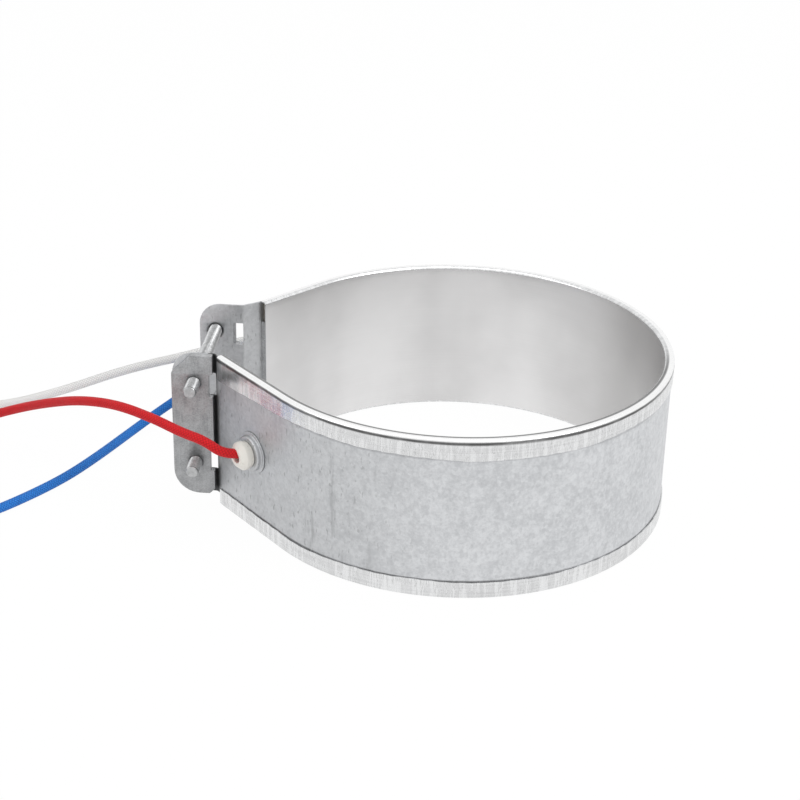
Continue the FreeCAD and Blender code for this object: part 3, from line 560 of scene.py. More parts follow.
@dataclass(frozen=True)
class BraidedSleeve(Finish):
    """Woven glass-fibre sleeve: two sets of slanting yarns that go over and under each other."""

    name: str
    yarn: tuple[float, float, float] = (0.8, 0.8, 0.8)
    # The dark colour: painted shade in the gaps between the yarns, and real fuzz and wear.
    shadow: tuple[float, float, float] = (0.4, 0.4, 0.4)
    carriers: int = 16
    pitch_mm: float = 9.0
    roughness: float = 0.62

    def paint(self, shader: Shader) -> None:
        """Yarn shading from the piece's own UV: U in millimetres along, V from 0 to 1 around.

        The two diagonals are U / pitch + V and U / pitch - V, each times half the carriers; the
        fraction of each gives the place across a yarn.
        """
        u, v, _w = shader.parts(shader.own_uv())
        half = self.carriers / 2.0
        one = (u / self.pitch_mm + v) * half
        two = (u / self.pitch_mm - v) * half
        round_one = (one.fraction() - 0.5).size() * 2.0
        round_two = (two.fraction() - 0.5).size() * 2.0
        # Painted shade in the gaps between the yarns; fuzz and wear add real changes of tone in the same dark
        # colour.
        gap = round_one.most(round_two).smooth(0.62, 1.0)
        fuzz = shader.noise(shader.place(), 5.0, 3.0, 0.6)
        wear = shader.noise(shader.place(), 0.35, 3.0)
        share = gap * 0.75 + fuzz * 0.22 + wear.smooth(0.5, 0.8) * 0.18
        fibre = shader.noise(shader.own_uv((0.9, 90.0, 1.0)), 1.0, 3.0)
        shader.bump((1.0 - gap) * 0.8 + fibre * 0.35 + fuzz * 0.2, 0.12, 0.8)
        shader.set(
            base_color=shader.blend(share.hold(), self.yarn, self.shadow),
            roughness=fuzz * 0.15 + (self.roughness - 0.05),
            metallic=0.0,
        )
        shader.surface.inputs["Specular IOR Level"].default_value = 0.2
        shader.surface.inputs["Sheen Weight"].default_value = 0.06
        shader.surface.inputs["Sheen Roughness"].default_value = 0.5


@dataclass(frozen=True)
class StudioFloor(Finish):
    """Pale plain floor that the camera and the metal see as white, but for the soft shadow."""

    name: str = "studio_floor"
    colour: tuple[float, float, float] = (0.93, 0.93, 0.93)
    seen_white: float = 0.975

    def paint(self, shader: Shader) -> None:
        """Mixes a white glow into the floor for camera, glossy and transmission rays."""
        path = shader.node("LightPath").outputs
        seen = Value(shader, path["Is Camera Ray"]) + Value(shader, path["Is Glossy Ray"])
        seen = (seen + Value(shader, path["Is Transmission Ray"])).hold() * self.seen_white
        glow = shader.node("Emission", {}, {"Color": (1.0, 1.0, 1.0), "Strength": 1.0})
        shader.set(base_color=self.colour, roughness=0.8, metallic=0.0)
        shader.surface.inputs["Specular IOR Level"].default_value = 0.0
        links = {0: seen, 1: shader.surface.outputs[0], 2: glow.outputs[0]}
        mix = shader.node("MixShader", {}, links)
        shader.tree.links.new(mix.outputs[0], shader.output.inputs[0])


class Metal(Enum):
    """The finishes that several pieces share."""

    JACKET = GalvanisedSheet()
    RIM = BrightRim()
    BORE = SatinBore()
    PLATE = DullPlate()
    SCREW = ZincSteel()
    RIBBON = HotRibbon()


class Braid(Enum):
    """The three sleeves' colours."""

    RED = BraidedSleeve("red_sleeve", (0.70, 0.012, 0.018), (0.32, 0.004, 0.006))
    WHITE = BraidedSleeve("white_sleeve", (0.86, 0.86, 0.85), (0.58, 0.58, 0.57))
    BLUE = BraidedSleeve("blue_sleeve", (0.025, 0.21, 0.66), (0.008, 0.07, 0.30))


# ------------------------------------------------------------------------------ mesh making


def mesh_object(
    name: str,
    points_mm: np.ndarray,
    faces: Sequence[Sequence[int]] | np.ndarray,
    finish: Finish,
    uv: np.ndarray | None = None,
    sharp_degrees: float = 40.0,
) -> bpy.types.Object:
    """Makes a mesh object at the origin from points in millimetres.

    Args:
        name: the piece's name.
        points_mm: N by 3 points.
        faces: the corner numbers of each face.
        finish: what its surface is.
        uv: N by 2 coordinates, one for each point, in millimetres.
        sharp_degrees: the angle past which an edge shades sharp.

    Returns:
        The linked object.
    """
    mesh = bpy.data.meshes.new(name)
    rows = faces.tolist() if isinstance(faces, np.ndarray) else [list(f) for f in faces]
    mesh.from_pydata((points_mm * MM).tolist(), [], rows)
    if uv is not None:
        layer = mesh.uv_layers.new(name="UVMap")
        corner = np.empty(len(mesh.loops), np.int64)
        mesh.loops.foreach_get("vertex_index", corner)
        layer.data.foreach_set("uv", uv[corner].astype(np.float32).ravel())
    mesh.validate()
    mesh.polygons.foreach_set("use_smooth", [True] * len(mesh.polygons))
    mesh.set_sharp_from_angle(angle=math.radians(sharp_degrees))
    mesh.materials.append(finish.material())
    mesh.update()
    thing = bpy.data.objects.new(name, mesh)
    bpy.context.scene.collection.objects.link(thing)
    return thing


def grid_faces(rows: int, columns: int, wrap_rows: bool, wrap_columns: bool, first: int = 0) -> np.ndarray:
    """Quads over a grid of points numbered row by row.

    Args:
        rows: how many rows of points.
        columns: how many points in each row.
        wrap_rows: whether the last row joins the first.
        wrap_columns: whether each row is a ring.
        first: the number of the grid's first point.

    Returns:
        An array of four corner numbers for each quad.
    """
    r = np.arange(rows if wrap_rows else rows - 1)[:, None]
    c = np.arange(columns if wrap_columns else columns - 1)[None, :]
    r2, c2 = (r + 1) % rows, (c + 1) % columns
    a, b = r * columns + c, r * columns + c2
    d, e = r2 * columns + c2, r2 * columns + c
    return np.stack([a, b, d, e], -1).reshape(-1, 4) + first


def join_shells(shells: Sequence[tuple[np.ndarray, list]]) -> tuple[np.ndarray, list]:
    """Several shells as one set of points and faces."""
    points, faces, first = [], [], 0
    for shell_points, shell_faces in shells:
        points.append(shell_points)
        faces += [[i + first for i in face] for face in shell_faces]
        first += len(shell_points)
    return np.concatenate(points), faces


def face_outwards(mesh: bpy.types.Mesh) -> None:
    """Turns every closed shell's faces outwards."""
    work = bmesh.new()
    work.from_mesh(mesh)
    bmesh.ops.recalc_face_normals(work, faces=work.faces)
    work.to_mesh(mesh)
    work.free()


def rounded_profile(corners: Sequence[tuple[float, float, float]], steps: int = 5) -> np.ndarray:
    """A polyline whose corners are rounded.

    Each corner with a radius becomes an arc tangent to both of its sides: with half turn h it
    leaves the corner's sides at radius * tan(h), and its points turn evenly from one side to the
    other.

    Args:
        corners: x, y and radius of each corner, the first and last kept sharp.
        steps: how many pieces an arc has.

    Returns:
        N by 2 points.
    """
    out = [np.array(corners[0][:2], float)]
    for before, here, after in zip(corners, corners[1:], corners[2:]):
        corner, radius = np.array(here[:2], float), here[2]
        if radius <= 0:
            out.append(corner)
            continue
        back, on = np.array(before[:2]) - corner, np.array(after[:2]) - corner
        back, on = back / np.linalg.norm(back), on / np.linalg.norm(on)
        half = math.acos(float(np.clip(back @ on, -1, 1))) / 2
        middle = corner + (back + on) / np.linalg.norm(back + on) * (radius / math.sin(half))
        start = corner + back * (radius / math.tan(half)) - middle
        end = corner + on * (radius / math.tan(half)) - middle
        share = np.linspace(0, 1, steps + 1)[:, None]
        sweep = math.acos(float(np.clip(start @ end / radius**2, -1, 1)))
        arc = (np.sin((1 - share) * sweep) * start + np.sin(share * sweep) * end) / math.sin(sweep)
        out += list(middle + arc)
    out.append(np.array(corners[-1][:2], float))
    return np.array(out)


def turned(profile: np.ndarray, segments: int, swell: Callable | None = None) -> tuple[np.ndarray, list]:
    """A closed turned shell: a profile of radius and height carried round the Z axis.

    The point at angle a on profile point k is (r_k cos a, r_k sin a, z_k), with r_k optionally
    changed by swell. Where the profile starts or ends on the axis, that end is one point.

    Args:
        profile: N by 2 radii and heights, going up the outside with the material on its left.
        segments: how many steps round.
        swell: takes radii, heights and angles as arrays and returns new radii.

    Returns:
        The points and the faces.
    """
    angle = np.linspace(0, 2 * np.pi, segments, endpoint=False)[None, :]
    ring = profile[(profile[:, 0] > 1e-6)]
    radius, height = ring[:, :1], ring[:, 1:] + 0 * angle
    radius = radius + 0 * angle
    if swell is not None:
        radius = swell(radius, height, angle + 0 * radius)
    points = np.stack([radius * np.cos(angle), radius * np.sin(angle), height], -1).reshape(-1, 3)
    closed = profile[0, 0] > 1e-6 and profile[-1, 0] > 1e-6
    faces = grid_faces(len(ring), segments, closed, True).tolist()
    if not closed:
        for index, row, flip in ((0, 0, True), (-1, len(ring) - 1, False)):
            tip = len(points)
            points = np.vstack([points, [[0.0, 0.0, profile[index, 1]]]])
            one = row * segments + np.arange(segments)
            two = np.roll(one, -1)
            pair = (two, one) if flip else (one, two)
            faces += np.stack([*pair, np.full(segments, tip)], -1).tolist()
    return points, faces


def posed(points: np.ndarray, origin: Vector, along: Vector, up: Vector) -> np.ndarray:
    """Points turned so that their Z lies along a direction and moved to an origin.

    Args:
        points: N by 3 points in millimetres.
        origin: where their origin goes.
        along: where their Z points.
        up: where their Y points, as nearly as it can.

    Returns:
        The placed points.
    """
    z = np.array(along.normalized())
    x = np.cross(np.array(up), z)
    x = x / np.linalg.norm(x)
    y = np.cross(z, x)
    return points @ np.stack([x, y, z]) + np.array(origin)


# ------------------------------------------------------------------------- the band's plan


@dataclass(frozen=True)
class PlanPath:
    """A plan line of straight runs and arcs, walked from a start like a drawing pen.

    Each leg is (length, turn in degrees): a turn of 0 is a straight run, and any other is an arc
    of that length that turns left when positive.
    """

    start: tuple[float, float]
    heading_degrees: float
    legs: tuple[tuple[float, float], ...]

    def length(self) -> float:
        """The whole line's length in millimetres."""
        return sum(leg[0] for leg in self.legs)

    def walk(self, station: np.ndarray) -> tuple[np.ndarray, np.ndarray]:
        """Points and outward normals at stations along the line.

        On a straight run the point is start + d * heading. On an arc of curvature k it is
        start + (sin(h + k d) - sin h) / k along X and (cos h - cos(h + k d)) / k along Y, where
        d is the distance into the leg and h its first heading.

        Args:
            station: distances from the start in millimetres, which may lie past either end.

        Returns:
            Two arrays of N by 2: the points and the normals, which lie right of the heading.
        """
        points = np.zeros(station.shape + (2,))
        heading = np.zeros(station.shape)
        at, way, done = np.array(self.start, float), math.radians(self.heading_degrees), 0.0
        for number, (length, turn) in enumerate(self.legs):
            first, last = number == 0, number == len(self.legs) - 1
            inside = ((station >= done) | first) & ((station < done + length) | last)
            d = station[inside] - done
            bend = math.radians(turn) / length
            if abs(bend) < 1e-12:
                step = np.stack([np.cos(way) * d, np.sin(way) * d], -1)
                move = np.array([math.cos(way), math.sin(way)]) * length
            else:
                onward = way + bend * d
                along, across = np.sin(onward) - np.sin(way), np.cos(way) - np.cos(onward)
                step = np.stack([along, across], -1) / bend
                end = way + bend * length
                move = np.array([math.sin(end) - math.sin(way), math.cos(way) - math.cos(end)]) / bend
            points[inside] = at + step
            heading[inside] = way + bend * d
            at, way, done = at + move, way + bend * length, done + length
        return points, np.stack([np.sin(heading), -np.cos(heading)], -1)


@dataclass(frozen=True)
class BandPlan:
    """The driving sizes of the band, in millimetres, and the plan lines that follow from them."""

    bore_radius: float = 75.0
    width: float = 60.5
    tangent_degrees: float = 138.25
    near_run: float = 40.3
    far_run: float = 28.8
    sheath_gauge: float = 0.45
    flange_in: float = 78.16
    flange_out: float = 78.61
    jacket_in: float = 77.53
    jacket_out: float = 78.08
    jacket_gauge: float = 0.55
    near_ear_offset: float = 19.5
    far_ear_offset: float = 25.4
    near_ear_tip: float = 102.2
    far_ear_tip: float = 100.1
    ear_bend: float = 1.6
    leaf_start: float = 29.6
    leaf_kick: float = 12.0
    leaf_bend: float = 6.0

    def run_point(self, end: int, radius: float, station: float) -> tuple[float, float]:
        """A point on a tangent run: the near run for end -1, the far one for +1."""
        c, s = math.cos(math.radians(self.tangent_degrees)), math.sin(math.radians(self.tangent_degrees))
        return radius * c - station * s, end * (radius * s + station * c)

    def run_frame(self, end: int) -> tuple[Vector, Vector]:
        """A run's outward normal and the direction from its tangent point to its tip."""
        c, s = math.cos(math.radians(self.tangent_degrees)), math.sin(math.radians(self.tangent_degrees))
        return Vector((c, end * s, 0.0)), Vector((-s, end * c, 0.0))

    def bore_line(self) -> PlanPath:
        """The bore's wall in plan, from the near run's tip round to the far run's tip."""
        arc = 2 * math.radians(self.tangent_degrees) * self.bore_radius
        legs = ((self.near_run, 0.0), (arc, 2 * self.tangent_degrees), (self.far_run, 0.0))
        start = self.run_point(-1, self.bore_radius, self.near_run)
        return PlanPath(start, 90.0 - self.tangent_degrees, legs)

    def jacket_line(self) -> PlanPath:
        """The jacket's inner face in plan: near ear, fold, run, great arc, run, leaf, fold, far ear."""
        s = math.sin(math.radians(self.tangent_degrees))
        c = math.cos(math.radians(self.tangent_degrees))
        lean = self.tangent_degrees - 90.0
        fold = self.ear_bend + self.jacket_gauge
        station = (self.near_ear_offset - self.jacket_in * s) / c
        corner_x = self.run_point(-1, self.jacket_in, station)[0]
        reach = fold * math.tan(math.radians(lean) / 2)
        kick_reach = self.leaf_bend * math.tan(math.radians(self.leaf_kick) / 2)
        kick_x, kick_y = self.run_point(1, self.jacket_in, self.leaf_start)
        aim = math.radians(self.tangent_degrees - self.leaf_kick)
        leaf = (self.far_ear_offset - kick_y) / math.cos(aim)
        far_x = kick_x - leaf * math.sin(aim)
        far_turn = lean - self.leaf_kick
        far_reach = fold * math.tan(math.radians(far_turn) / 2)
        legs = (
            (self.near_ear_tip + corner_x - reach, 0.0),
            (fold * math.radians(lean), -lean),
            (station - reach, 0.0),
            (2 * math.radians(self.tangent_degrees) * self.jacket_in, 2 * self.tangent_degrees),
            (self.leaf_start - kick_reach, 0.0),
            (self.leaf_bend * math.radians(self.leaf_kick), -self.leaf_kick),
            (leaf - kick_reach - far_reach, 0.0),
            (fold * math.radians(far_turn), -far_turn),
            (self.far_ear_tip + far_x - far_reach, 0.0),
        )
        return PlanPath((-self.near_ear_tip, -self.near_ear_offset), 0.0, legs)


PLAN = BandPlan()
BUSH_HEIGHT = 31.0


# ----------------------------------------------------------------------------- the sheath


@dataclass(frozen=True)
class Wave:
    """A sine along the band: its height, the divisor of the distance and its phase."""

    height: float
    spread: float
    phase: float = 0.0

    def at(self, distance: np.ndarray) -> np.ndarray:
        """The wave's value at distances along the band."""
        return self.height * np.sin(distance / self.spread + self.phase)


@dataclass
class Sheath:
    """The folded inner sheath: bore wall, rolled rims and the flanges over the jacket's edges.

    The edge sinks by start_drop at the near end and rises by far_rise towards the far one.
    """

    rim_bend: float = 0.9
    upper_flange: float = 7.2
    lower_flange: float = 6.4
    step_mm: float = 0.7
    crimp_depth: float = 0.07
    upper_waves: tuple[Wave, ...] = (Wave(0.30, 17.0, 0.6), Wave(0.18, 6.1, 2.0))
    lower_waves: tuple[Wave, ...] = (Wave(0.16, 13.0, 1.2), Wave(0.10, 4.7))
    beat: tuple[Wave, Wave] = (Wave(0.09, 1.9), Wave(1.0, 5.3))
    ripple: Wave = Wave(0.06, 0.83, 1.0)
    drift_waves: tuple[Wave, ...] = (Wave(0.9, 29.0), Wave(0.45, 11.7, 1.0))
    crimp_spacing: float = 6.3
    crimp_fade: Wave = Wave(1.0, 41.0, 0.4)
    swell_waves: tuple[Wave, ...] = (Wave(0.07, 19.0, 0.7), Wave(0.05, 8.7, 2.2))
    dimple: tuple[Wave, Wave] = (Wave(0.02, 6.0), Wave(1.0, 12.0))
    start_drop: float = 1.9
    start_spread: float = 26.0
    far_rise: float = 0.9
    rise_from: float = 150.0
    rise_over: float = 200.0

    def centre_profile(self) -> np.ndarray:
        """The folded strip's centre line as radius and height, from lower flange to upper flange."""
        half = PLAN.sheath_gauge / 2
        inner, outer = PLAN.bore_radius + half, PLAN.flange_out - half
        low, high = half, PLAN.width - half
        bend = self.rim_bend - half
        corners = [
            (outer, self.lower_flange, 0.0),
            (outer, low, bend),
            (inner, low, bend),
            (inner, high, bend),
            (outer, high, bend),
            (outer, PLAN.width - self.upper_flange, 0.0),
        ]
        line = rounded_profile(corners, 6)
        return self.divided(line)

    @staticmethod
    def divided(line: np.ndarray) -> np.ndarray:
        """The line with its long runs cut into steps of about 2.4 mm."""
        out = [line[:1]]
        for a, b in zip(line, line[1:]):
            count = max(1, int(round(np.linalg.norm(b - a) / 2.4)))
            share = np.linspace(0, 1, count + 1)[1:, None]
            out.append(a + (b - a) * share)
        return np.concatenate(out)

    def surface(self) -> tuple[np.ndarray, np.ndarray, np.ndarray]:
        """The two faces of the strip as one ring of profile points at every station.

        The profile's centre line is moved by half the gauge along its own normal to either side.
        The flanges' cut edges wander in height by a sum of slow and quick waves, and their faces
        dip inwards by a folded wave whose spacing drifts, as hand-rolled crimps do. The bore's
        wall swells by slow waves a few hundredths deep.

        Returns:
            Points (stations by ring by 3), the stations and the ring's own lengths.
        """
        line = self.centre_profile()
        tangent = np.gradient(line, axis=0)
        tangent /= np.linalg.norm(tangent, axis=1)[:, None]
        side = np.stack([tangent[:, 1], -tangent[:, 0]], -1) * (PLAN.sheath_gauge / 2)
        ring = np.concatenate([line + side, (line - side)[::-1]])
        path = PLAN.bore_line()
        total = path.length()
        s = np.linspace(0, total, int(total / self.step_mm))
        where, normal = path.walk(s)
        radius = np.broadcast_to(ring[:, 0], (len(s), len(ring))).copy()
        height = np.broadcast_to(ring[:, 1], radius.shape).copy()
        column = s[:, None]
        flange = ring[:, 0] > PLAN.flange_in - 0.02
        top = flange & (ring[:, 1] > PLAN.width / 2)
        foot = flange & (ring[:, 1] < PLAN.width / 2)
        quick = self.beat[0].at(column) * self.beat[1].at(column) + self.ripple.at(column)
        slow = sum(wave.at(column) for wave in self.upper_waves)
        start = self.start_drop * np.exp(-((column / self.start_spread) ** 2))
        drift = -self.far_rise * np.clip((column - self.rise_from) / self.rise_over, 0, 1)
        reach = np.clip((PLAN.width - self.rim_bend - ring[:, 1]) / (self.upper_flange - self.rim_bend), 0, 1)
        height -= np.where(top, reach, 0) * (slow + quick + start + drift)
        reach = np.clip((ring[:, 1] - self.rim_bend) / (self.lower_flange - self.rim_bend), 0, 1)
        low_wave = sum(wave.at(column) for wave in self.lower_waves) + quick * 0.8
        height += np.where(foot, reach, 0) * low_wave
        radius -= np.where(flange, 1, 0) * self.crimps(column)
        bore = ring[:, 0] < PLAN.bore_radius + PLAN.sheath_gauge + 0.02
        middle = np.sin(np.clip(ring[:, 1] / PLAN.width, 0, 1) * np.pi)
        swell = sum(wave.at(column) for wave in self.swell_waves)
        swell = swell + self.dimple[0].at(ring[:, 1]) * self.dimple[1].at(column)
        radius += np.where(bore, middle, 0) * swell
        offset = radius - PLAN.bore_radius
        flat = where[:, None, :] + normal[:, None, :] * offset[..., None]
        points = np.concatenate([flat, height[..., None]], -1)
        lengths = np.concatenate([[0], np.cumsum(np.linalg.norm(np.diff(ring, axis=0), axis=1))])
        return points, s, lengths

    def crimps(self, column: np.ndarray) -> np.ndarray:
        """How deep the flanges' faces dip: a folded wave of drifting spacing and changing depth."""
        phase = column / self.crimp_spacing + sum(wave.at(column) for wave in self.drift_waves)
        crease = np.abs((phase % 1.0) - 0.5) * 2.0
        return self.crimp_depth * (0.35 + 0.65 * np.abs(self.crimp_fade.at(column))) * (1 - crease)

    def build(self) -> bpy.types.Object:
        """Makes the folded sheath and its end tabs as one piece.

        Returns:
            The piece, with the flanges and rims in one finish and the bore's wall in another.
        """
        points, stations, lengths = self.surface()
        rows, columns = points.shape[:2]
        faces = grid_faces(rows, columns, False, True)
        half = columns // 2
        k = np.arange(half - 1)
        first = np.stack([k, k + 1, columns - 2 - k, columns - 1 - k], -1)
        last = first[:, ::-1] + (rows - 1) * columns
        uv = np.stack(np.broadcast_arrays(stations[:, None], lengths[None, :]), -1).reshape(-1, 2)
        shells = [(points.reshape(-1, 3), np.concatenate([faces, first, last]).tolist())]
        for end in (-1, 1):
            tab = self.end_tab(end)
            shells.append(tab)
            uv = np.concatenate([uv, tab[0][:, 1:]])
        all_points, all_faces = join_shells(shells)
        piece = mesh_object("sheath_folded", all_points, all_faces, Metal.RIM.value, uv, 32.0)
        face_outwards(piece.data)
        self.dress(piece)
        return piece

    def end_tab(self, end: int) -> tuple[np.ndarray, list]:
        """The short wall folded over the pack's end, as a rounded plate.

        Args:
            end: -1 for the near run's tip, +1 for the far one's.

        Returns:
            Its points and faces.
        """
        low, high = self.lower_flange + 1.0, PLAN.width - self.upper_flange - 1.0
        inner, outer = PLAN.bore_radius + 0.25, PLAN.jacket_in - 0.08
        outline = rounded_profile(
            [(inner, low, 0), (outer, low, 0.5), (outer, high, 0.5), (inner, high, 0)], 4
        )
        length = PLAN.near_run if end < 0 else PLAN.far_run
        outward, along = PLAN.run_frame(end)
        sheets = []
        for station in (length - PLAN.sheath_gauge, length - 0.02):
            foot = np.array(along) * station
            spots = foot + np.array(outward) * outline[:, :1]
            spots[:, 2] = outline[:, 1]
            sheets.append(spots)
        count = len(outline)
        points = np.concatenate(sheets)
        sides = grid_faces(2, count, False, True).tolist()
        caps = [list(range(count))[::-1], list(range(count, 2 * count))]
        if end > 0:
            sides = [f[::-1] for f in sides]
            caps = [c[::-1] for c in caps]
        return points, sides + caps

    def dress(self, piece: bpy.types.Object) -> None:
        """Gives the faces of the bore's wall their own finish."""
        mesh = piece.data
        mesh.materials.append(Metal.BORE.value.material())
        centre = np.empty(len(mesh.polygons) * 3)
        normal = np.empty(len(mesh.polygons) * 3)
        mesh.polygons.foreach_get("center", centre)
        mesh.polygons.foreach_get("normal", normal)
        centre, normal = centre.reshape(-1, 3) / MM, normal.reshape(-1, 3)
        inward = np.abs(normal[:, 2]) < 0.6
        height = centre[:, 2]
        within = (height > 1.1) & (height < PLAN.width - 1.1)
        towards = (normal[:, :2] * centre[:, :2]).sum(1) < 0
        mesh.polygons.foreach_set("material_index", (inward & within & towards).astype(np.int32))
        mesh.update()
        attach(piece, "band")
        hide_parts("inner_sheath")


# ------------------------------------------------------------------------- sheet and plate


@dataclass
class Blank:
    """A flat blank with holes, cut from sheet with softly broken edges, and then bent or placed."""

    outline: np.ndarray
    holes: list[np.ndarray]
    gauge: float
    edge: float = 0.06

    def flat(self, name: str, cuts_x: Sequence[float] = (), cuts_y: Sequence[float] = ()) -> bpy.types.Mesh:
        """Fills the outline around its holes and gives it its gauge.

        Args:
            name: the mesh's name.
            cuts_x: where it is divided across X, so that it can be bent there.
            cuts_y: where it is divided across Y.

        Returns:
            A mesh in millimetres, in X and Y, from 0 to the gauge in Z.
        """
        curve = bpy.data.curves.new(name, "CURVE")
        curve.dimensions = "2D"
        curve.fill_mode = "BOTH"
        curve.extrude = self.gauge / 2 - self.edge
        curve.bevel_depth = self.edge
        curve.bevel_resolution = 1
        curve.offset = -self.edge
        for loop in [self.outline, *self.holes]:
            spline = curve.splines.new("POLY")
            spline.points.add(len(loop) - 1)
            flat = np.concatenate([loop, np.zeros((len(loop), 1)), np.ones((len(loop), 1))], 1)
            spline.points.foreach_set("co", flat.astype(np.float32).ravel())
            spline.use_cyclic_u = True
        thing = bpy.data.objects.new(name, curve)
        bpy.context.scene.collection.objects.link(thing)
        bpy.context.view_layer.update()
        mesh = bpy.data.meshes.new_from_object(thing.evaluated_get(bpy.context.evaluated_depsgraph_get()))
        bpy.data.objects.remove(thing)
        work = bmesh.new()
        work.from_mesh(mesh)
        bmesh.ops.remove_doubles(work, verts=work.verts, dist=1e-4)
        for axis, cuts in ((0, cuts_x), (1, cuts_y)):
            plane = [0.0, 0.0, 0.0]
            plane[axis] = 1.0
            for cut in cuts:
                spot = [0.0, 0.0, 0.0]
                spot[axis] = cut
                parts = work.verts[:] + work.edges[:] + work.faces[:]
                bmesh.ops.bisect_plane(work, geom=parts, plane_co=spot, plane_no=plane, dist=1e-4)
        bmesh.ops.triangulate(work, faces=[f for f in work.faces if len(f.verts) > 4])
        bmesh.ops.recalc_face_normals(work, faces=work.faces)
        work.to_mesh(mesh)
        work.free()
        return mesh

    def shaped(
        self, name: str, finish: Finish, form: Callable[[np.ndarray], np.ndarray], **cuts: Sequence[float]
    ) -> bpy.types.Object:
        """Carries the flat blank's points to their places.

        Args:
            name: the piece's name.
            finish: its surface.
            form: takes N by 3 flat points and returns N by 3 points in the frame, in millimetres.
            cuts: cuts_x and cuts_y for the flat blank.

        Returns:
            The linked object, faces outwards.
        """
        mesh = self.flat(name, **cuts)
        flat = np.empty(len(mesh.vertices) * 3)
        mesh.vertices.foreach_get("co", flat)
        flat = flat.reshape(-1, 3)
        flat[:, 2] += self.gauge / 2
        mesh.vertices.foreach_set("co", (form(flat) * MM).ravel())
        face_outwards(mesh)
        mesh.materials.clear()
        mesh.materials.append(finish.material())
        mesh.polygons.foreach_set("material_index", [0] * len(mesh.polygons))
        mesh.polygons.foreach_set("use_smooth", [True] * len(mesh.polygons))
        mesh.set_sharp_from_angle(angle=math.radians(38.0))
        mesh.update()
        thing = bpy.data.objects.new(name, mesh)
        bpy.context.scene.collection.objects.link(thing)
        return thing


def closed_outline(corners: Sequence[tuple[float, float, float]], steps: int = 10) -> np.ndarray:
    """A closed outline with rounded corners; the first corner must be a sharp one."""
    line = rounded_profile([*corners, corners[0]], steps)
    return line[:-1]


def circle_loop(x: float, y: float, radius: float, steps: int = 40) -> np.ndarray:
    """A round hole's outline."""
    angle = np.linspace(0, 2 * np.pi, steps, endpoint=False)
    return np.stack([x + radius * np.cos(angle), y + radius * np.sin(angle)], -1)


@dataclass
class Clamp:
    """Sizes that the ears, their plates, the screws and the washers share."""

    ear_top: float = 60.4
    ear_bottom: float = 4.6
    ear_top_radius: float = 8.0
    ear_bottom_radius: float = 9.5
    mid_height: float = 33.5
    window_width: float = 4.0
    window_height: float = 8.8
    window_spacing: float = 30.0
    screw_spacing: float = 32.0
    screw_setback: float = 94.1
    ear_hole: float = 3.3
    plate_gauge: float = 2.4
    plate_width: float = 15.0
    plate_gap: float = 0.05
    plate_chamfer: float = 7.2
    plate_toe: float = 2.0
    far_plate_drop: float = 1.5
    notch_depth: float = 1.4

    def screw_heights(self) -> tuple[float, float]:
        """The heights of the lower and the upper screw."""
        return self.mid_height - self.screw_spacing / 2, self.mid_height + self.screw_spacing / 2

    def windows(self) -> list[tuple[float, float]]:
        """The lowest and highest height of each window."""
        out = []
        for sign in (-1, 1):
            middle = self.mid_height + sign * self.window_spacing / 2
            out.append((middle - self.window_height / 2, middle + self.window_height / 2))
        return out


CLAMP = Clamp()


